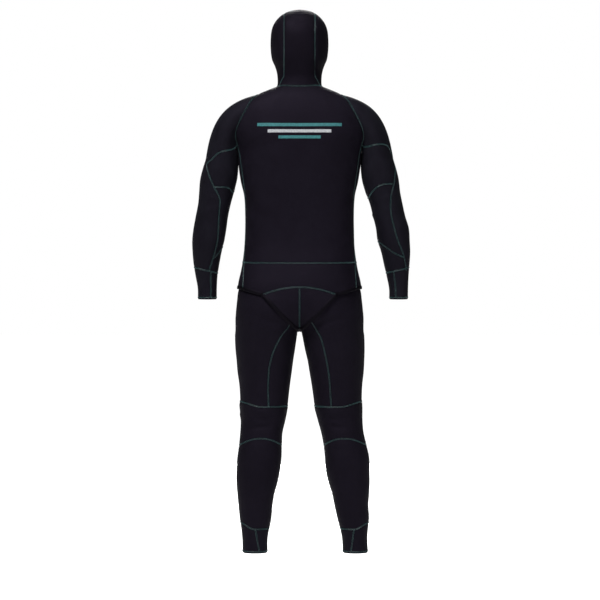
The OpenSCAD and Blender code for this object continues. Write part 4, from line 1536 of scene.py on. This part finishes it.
def bind_edges():
    """Wide dark tape folded over the jacket's hem and the tail's free edges. The tape is real; its
    near-black colour, darker than the cloth, is painted shade along the edges' step.
    """
    hem = Threads("hem_binding", SHADE_DARK_BINDING)
    for name in ("side_panel_left", "side_panel_right", "belly_panel"):
        hem.binding(inset_line(SHEETS[name], "b", TAPE_HALF - 1), TAPE_HALF, TAPE_FLAT)
    for side in (LEFT, RIGHT):
        label = SIDE_NAME[side]
        free = Threads("tail_binding_" + label, SHADE_DARK_BINDING)
        free.binding(inset_line(SHEETS["tail_panel_" + label], "b", TAPE_HALF - 1), TAPE_HALF,
                     TAPE_FLAT)
        bend_with_hip(free, label)
        hem.binding(inset_line(SHEETS["gusset"], "l" if side == RIGHT else "r", 2.0), 3.0, 0.6)
    points, normals, _ = inset_line(SHEETS["lumbar_panel"], "b", TAPE_HALF - 1)
    for part in (points[:, 0] > TAIL_W - 8, points[:, 0] < 8 - TAIL_W):
        hem.binding((points[part], normals[part], None), TAPE_HALF, TAPE_FLAT)
    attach(hem.make(), "torso")
    tape = Threads("inner_seam_tape", SHADE_DARK_BINDING)
    for side in (LEFT, RIGHT):
        tape.binding((*armhole_line(side), None), TAPE_IN, 0.2, lift=-TAPE_DEPTH)
    r = np.linspace(0.02, 1.0, 40)
    ups = np.tile((0.0, 0.97, -0.24), (40, 1))
    tape.binding((tail_middle(r), ups, None), TAPE_IN, 0.2, lift=-TAPE_DEPTH)
    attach(tape.make(), "torso")
    flap = Threads("flap_binding", SHADE_DARK_BINDING)
    for edge in "ltr":
        flap.binding(inset_line(SHEETS["flap"], edge, 3.0), 4.0, 0.5)
    bend(flap.make(), "torso", "tail_flap", FLAP_BEND)


STRIPES = [("stripe_top", 1438.0, 128.0, PRINT_TEAL), ("stripe_middle", 1420.0, 96.0, PRINT_GREY),
           ("stripe_low", 1402.0, 64.0, PRINT_TEAL)]
STRIPE_HEIGHT = 9.0


def make_stripes():
    """Plain printed bars across the upper back."""
    for name, height, half, colour in STRIPES:
        x = np.linspace(half, -half, 61)[None, :]
        h = np.linspace(height - STRIPE_HEIGHT / 2, height + STRIPE_HEIGHT / 2, 4)[:, None]
        grid = torso(back_angle(TORSO, TORSO_N, x, h), h)
        base = normals_of(grid, False)
        grid = grid + base * (torso_detail(grid) + 0.45)[..., None]
        Sheet(name, grid, colour, thick=0.6, seams="", body="torso")


stitch_body()
stitch_hood()
bind_edges()
make_stripes()
for SIDE in (LEFT, RIGHT):
    stitch_sleeve(SIDE)
    stitch_leg(SIDE)

for NAME in ("eyelet_plates", "turn_lock_base_left", "turn_lock_base_right", "turn_button_left",
             "turn_button_right"):
    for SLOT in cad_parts[NAME].material_slots:
        SLOT.material = STEEL


# ---- Floor, lights and camera ----
def make_floor():
    bpy.ops.mesh.primitive_plane_add(size=30, location=(0, 0, -ORIGIN_H * MM))
    floor = bpy.context.object
    floor.name = "studio_floor"
    floor.data.materials.append(floor_paint("floor_paint"))


def area_light(name, place, target, size, power):
    lamp = bpy.data.lights.new(name, "AREA")
    lamp.shape = "RECTANGLE"
    lamp.size, lamp.size_y = size
    lamp.energy = power
    holder = bpy.data.objects.new(name, lamp)
    bpy.context.scene.collection.objects.link(holder)
    aim(holder, place, target)


def aim(holder, place, target):
    """Puts a lamp or camera at a place and turns it towards a target, upright."""
    ahead = unit(np.array(target, float) - np.array(place, float))
    right = unit(np.cross(ahead, (0, 0, 1)))
    columns = np.column_stack([right, np.cross(right, ahead), -ahead, place])
    holder.matrix_world = Matrix([*columns.tolist(), (0, 0, 0, 1)])


# Each lamp's name, place, target, width and height, and power. The front ones are straight
# behind the suit as the camera sees it, so that they put no bright rim on its outline.
LAMPS = [
    ("key", (1.3, 2.3, 3.0), (0, 0, -0.5), (1.0, 1.0), 210),
    ("fill", (-1.7, 3.7, 0.2), (0, 0, -0.6), (1.4, 2.6), 40),
    ("top", (0, 0.5, 3.4), (0, 0, -0.5), (2.4, 1.6), 38),
    ("front_key", (0, -3.4, 2.0), (0, 0, -0.5), (0.9, 1.4), 95),
    ("front_fill", (0, -4.0, -0.5), (0, 0, -0.6), (0.7, 2.4), 60),
]


def light_studio():
    """White surroundings, seen brighter than they shine, and five large soft lamps."""
    bpy.context.scene.view_settings.view_transform = "Standard"
    world = bpy.data.worlds.new("studio")
    bpy.context.scene.world = world
    world.use_nodes = True
    tree = world.node_tree
    background = tree.nodes["Background"]
    background.inputs["Color"].default_value = rgba(1, 1, 1)
    seen = tree.nodes.new("ShaderNodeLightPath").outputs["Is Camera Ray"]
    strength = tree.nodes.new("ShaderNodeMapRange")
    strength.inputs["To Min"].default_value = SKY_LIGHT
    strength.inputs["To Max"].default_value = SKY_SEEN
    tree.links.new(seen, strength.inputs["Value"])
    tree.links.new(strength.outputs["Result"], background.inputs["Strength"])
    for lamp in LAMPS:
        area_light(*lamp)


CAMERA_DISTANCE = 8.8
CAMERA_RISE = 0.35
# Focal length in millimetres for each metre of distance, which keeps the suit's size in view
LENS_PER_METRE = 19.40
VIEW_MIDDLE = (-0.0015, 0.0, -0.600)


def add_camera():
    lens = bpy.data.cameras.new("camera")
    lens.lens = CAMERA_DISTANCE * LENS_PER_METRE
    lens.sensor_width = 36
    camera = bpy.data.objects.new("camera", lens)
    bpy.context.scene.collection.objects.link(camera)
    place = (VIEW_MIDDLE[0], CAMERA_DISTANCE, VIEW_MIDDLE[2] + CAMERA_RISE)
    aim(camera, place, VIEW_MIDDLE)
    bpy.context.scene.camera = camera


make_floor()
light_studio()
add_camera()
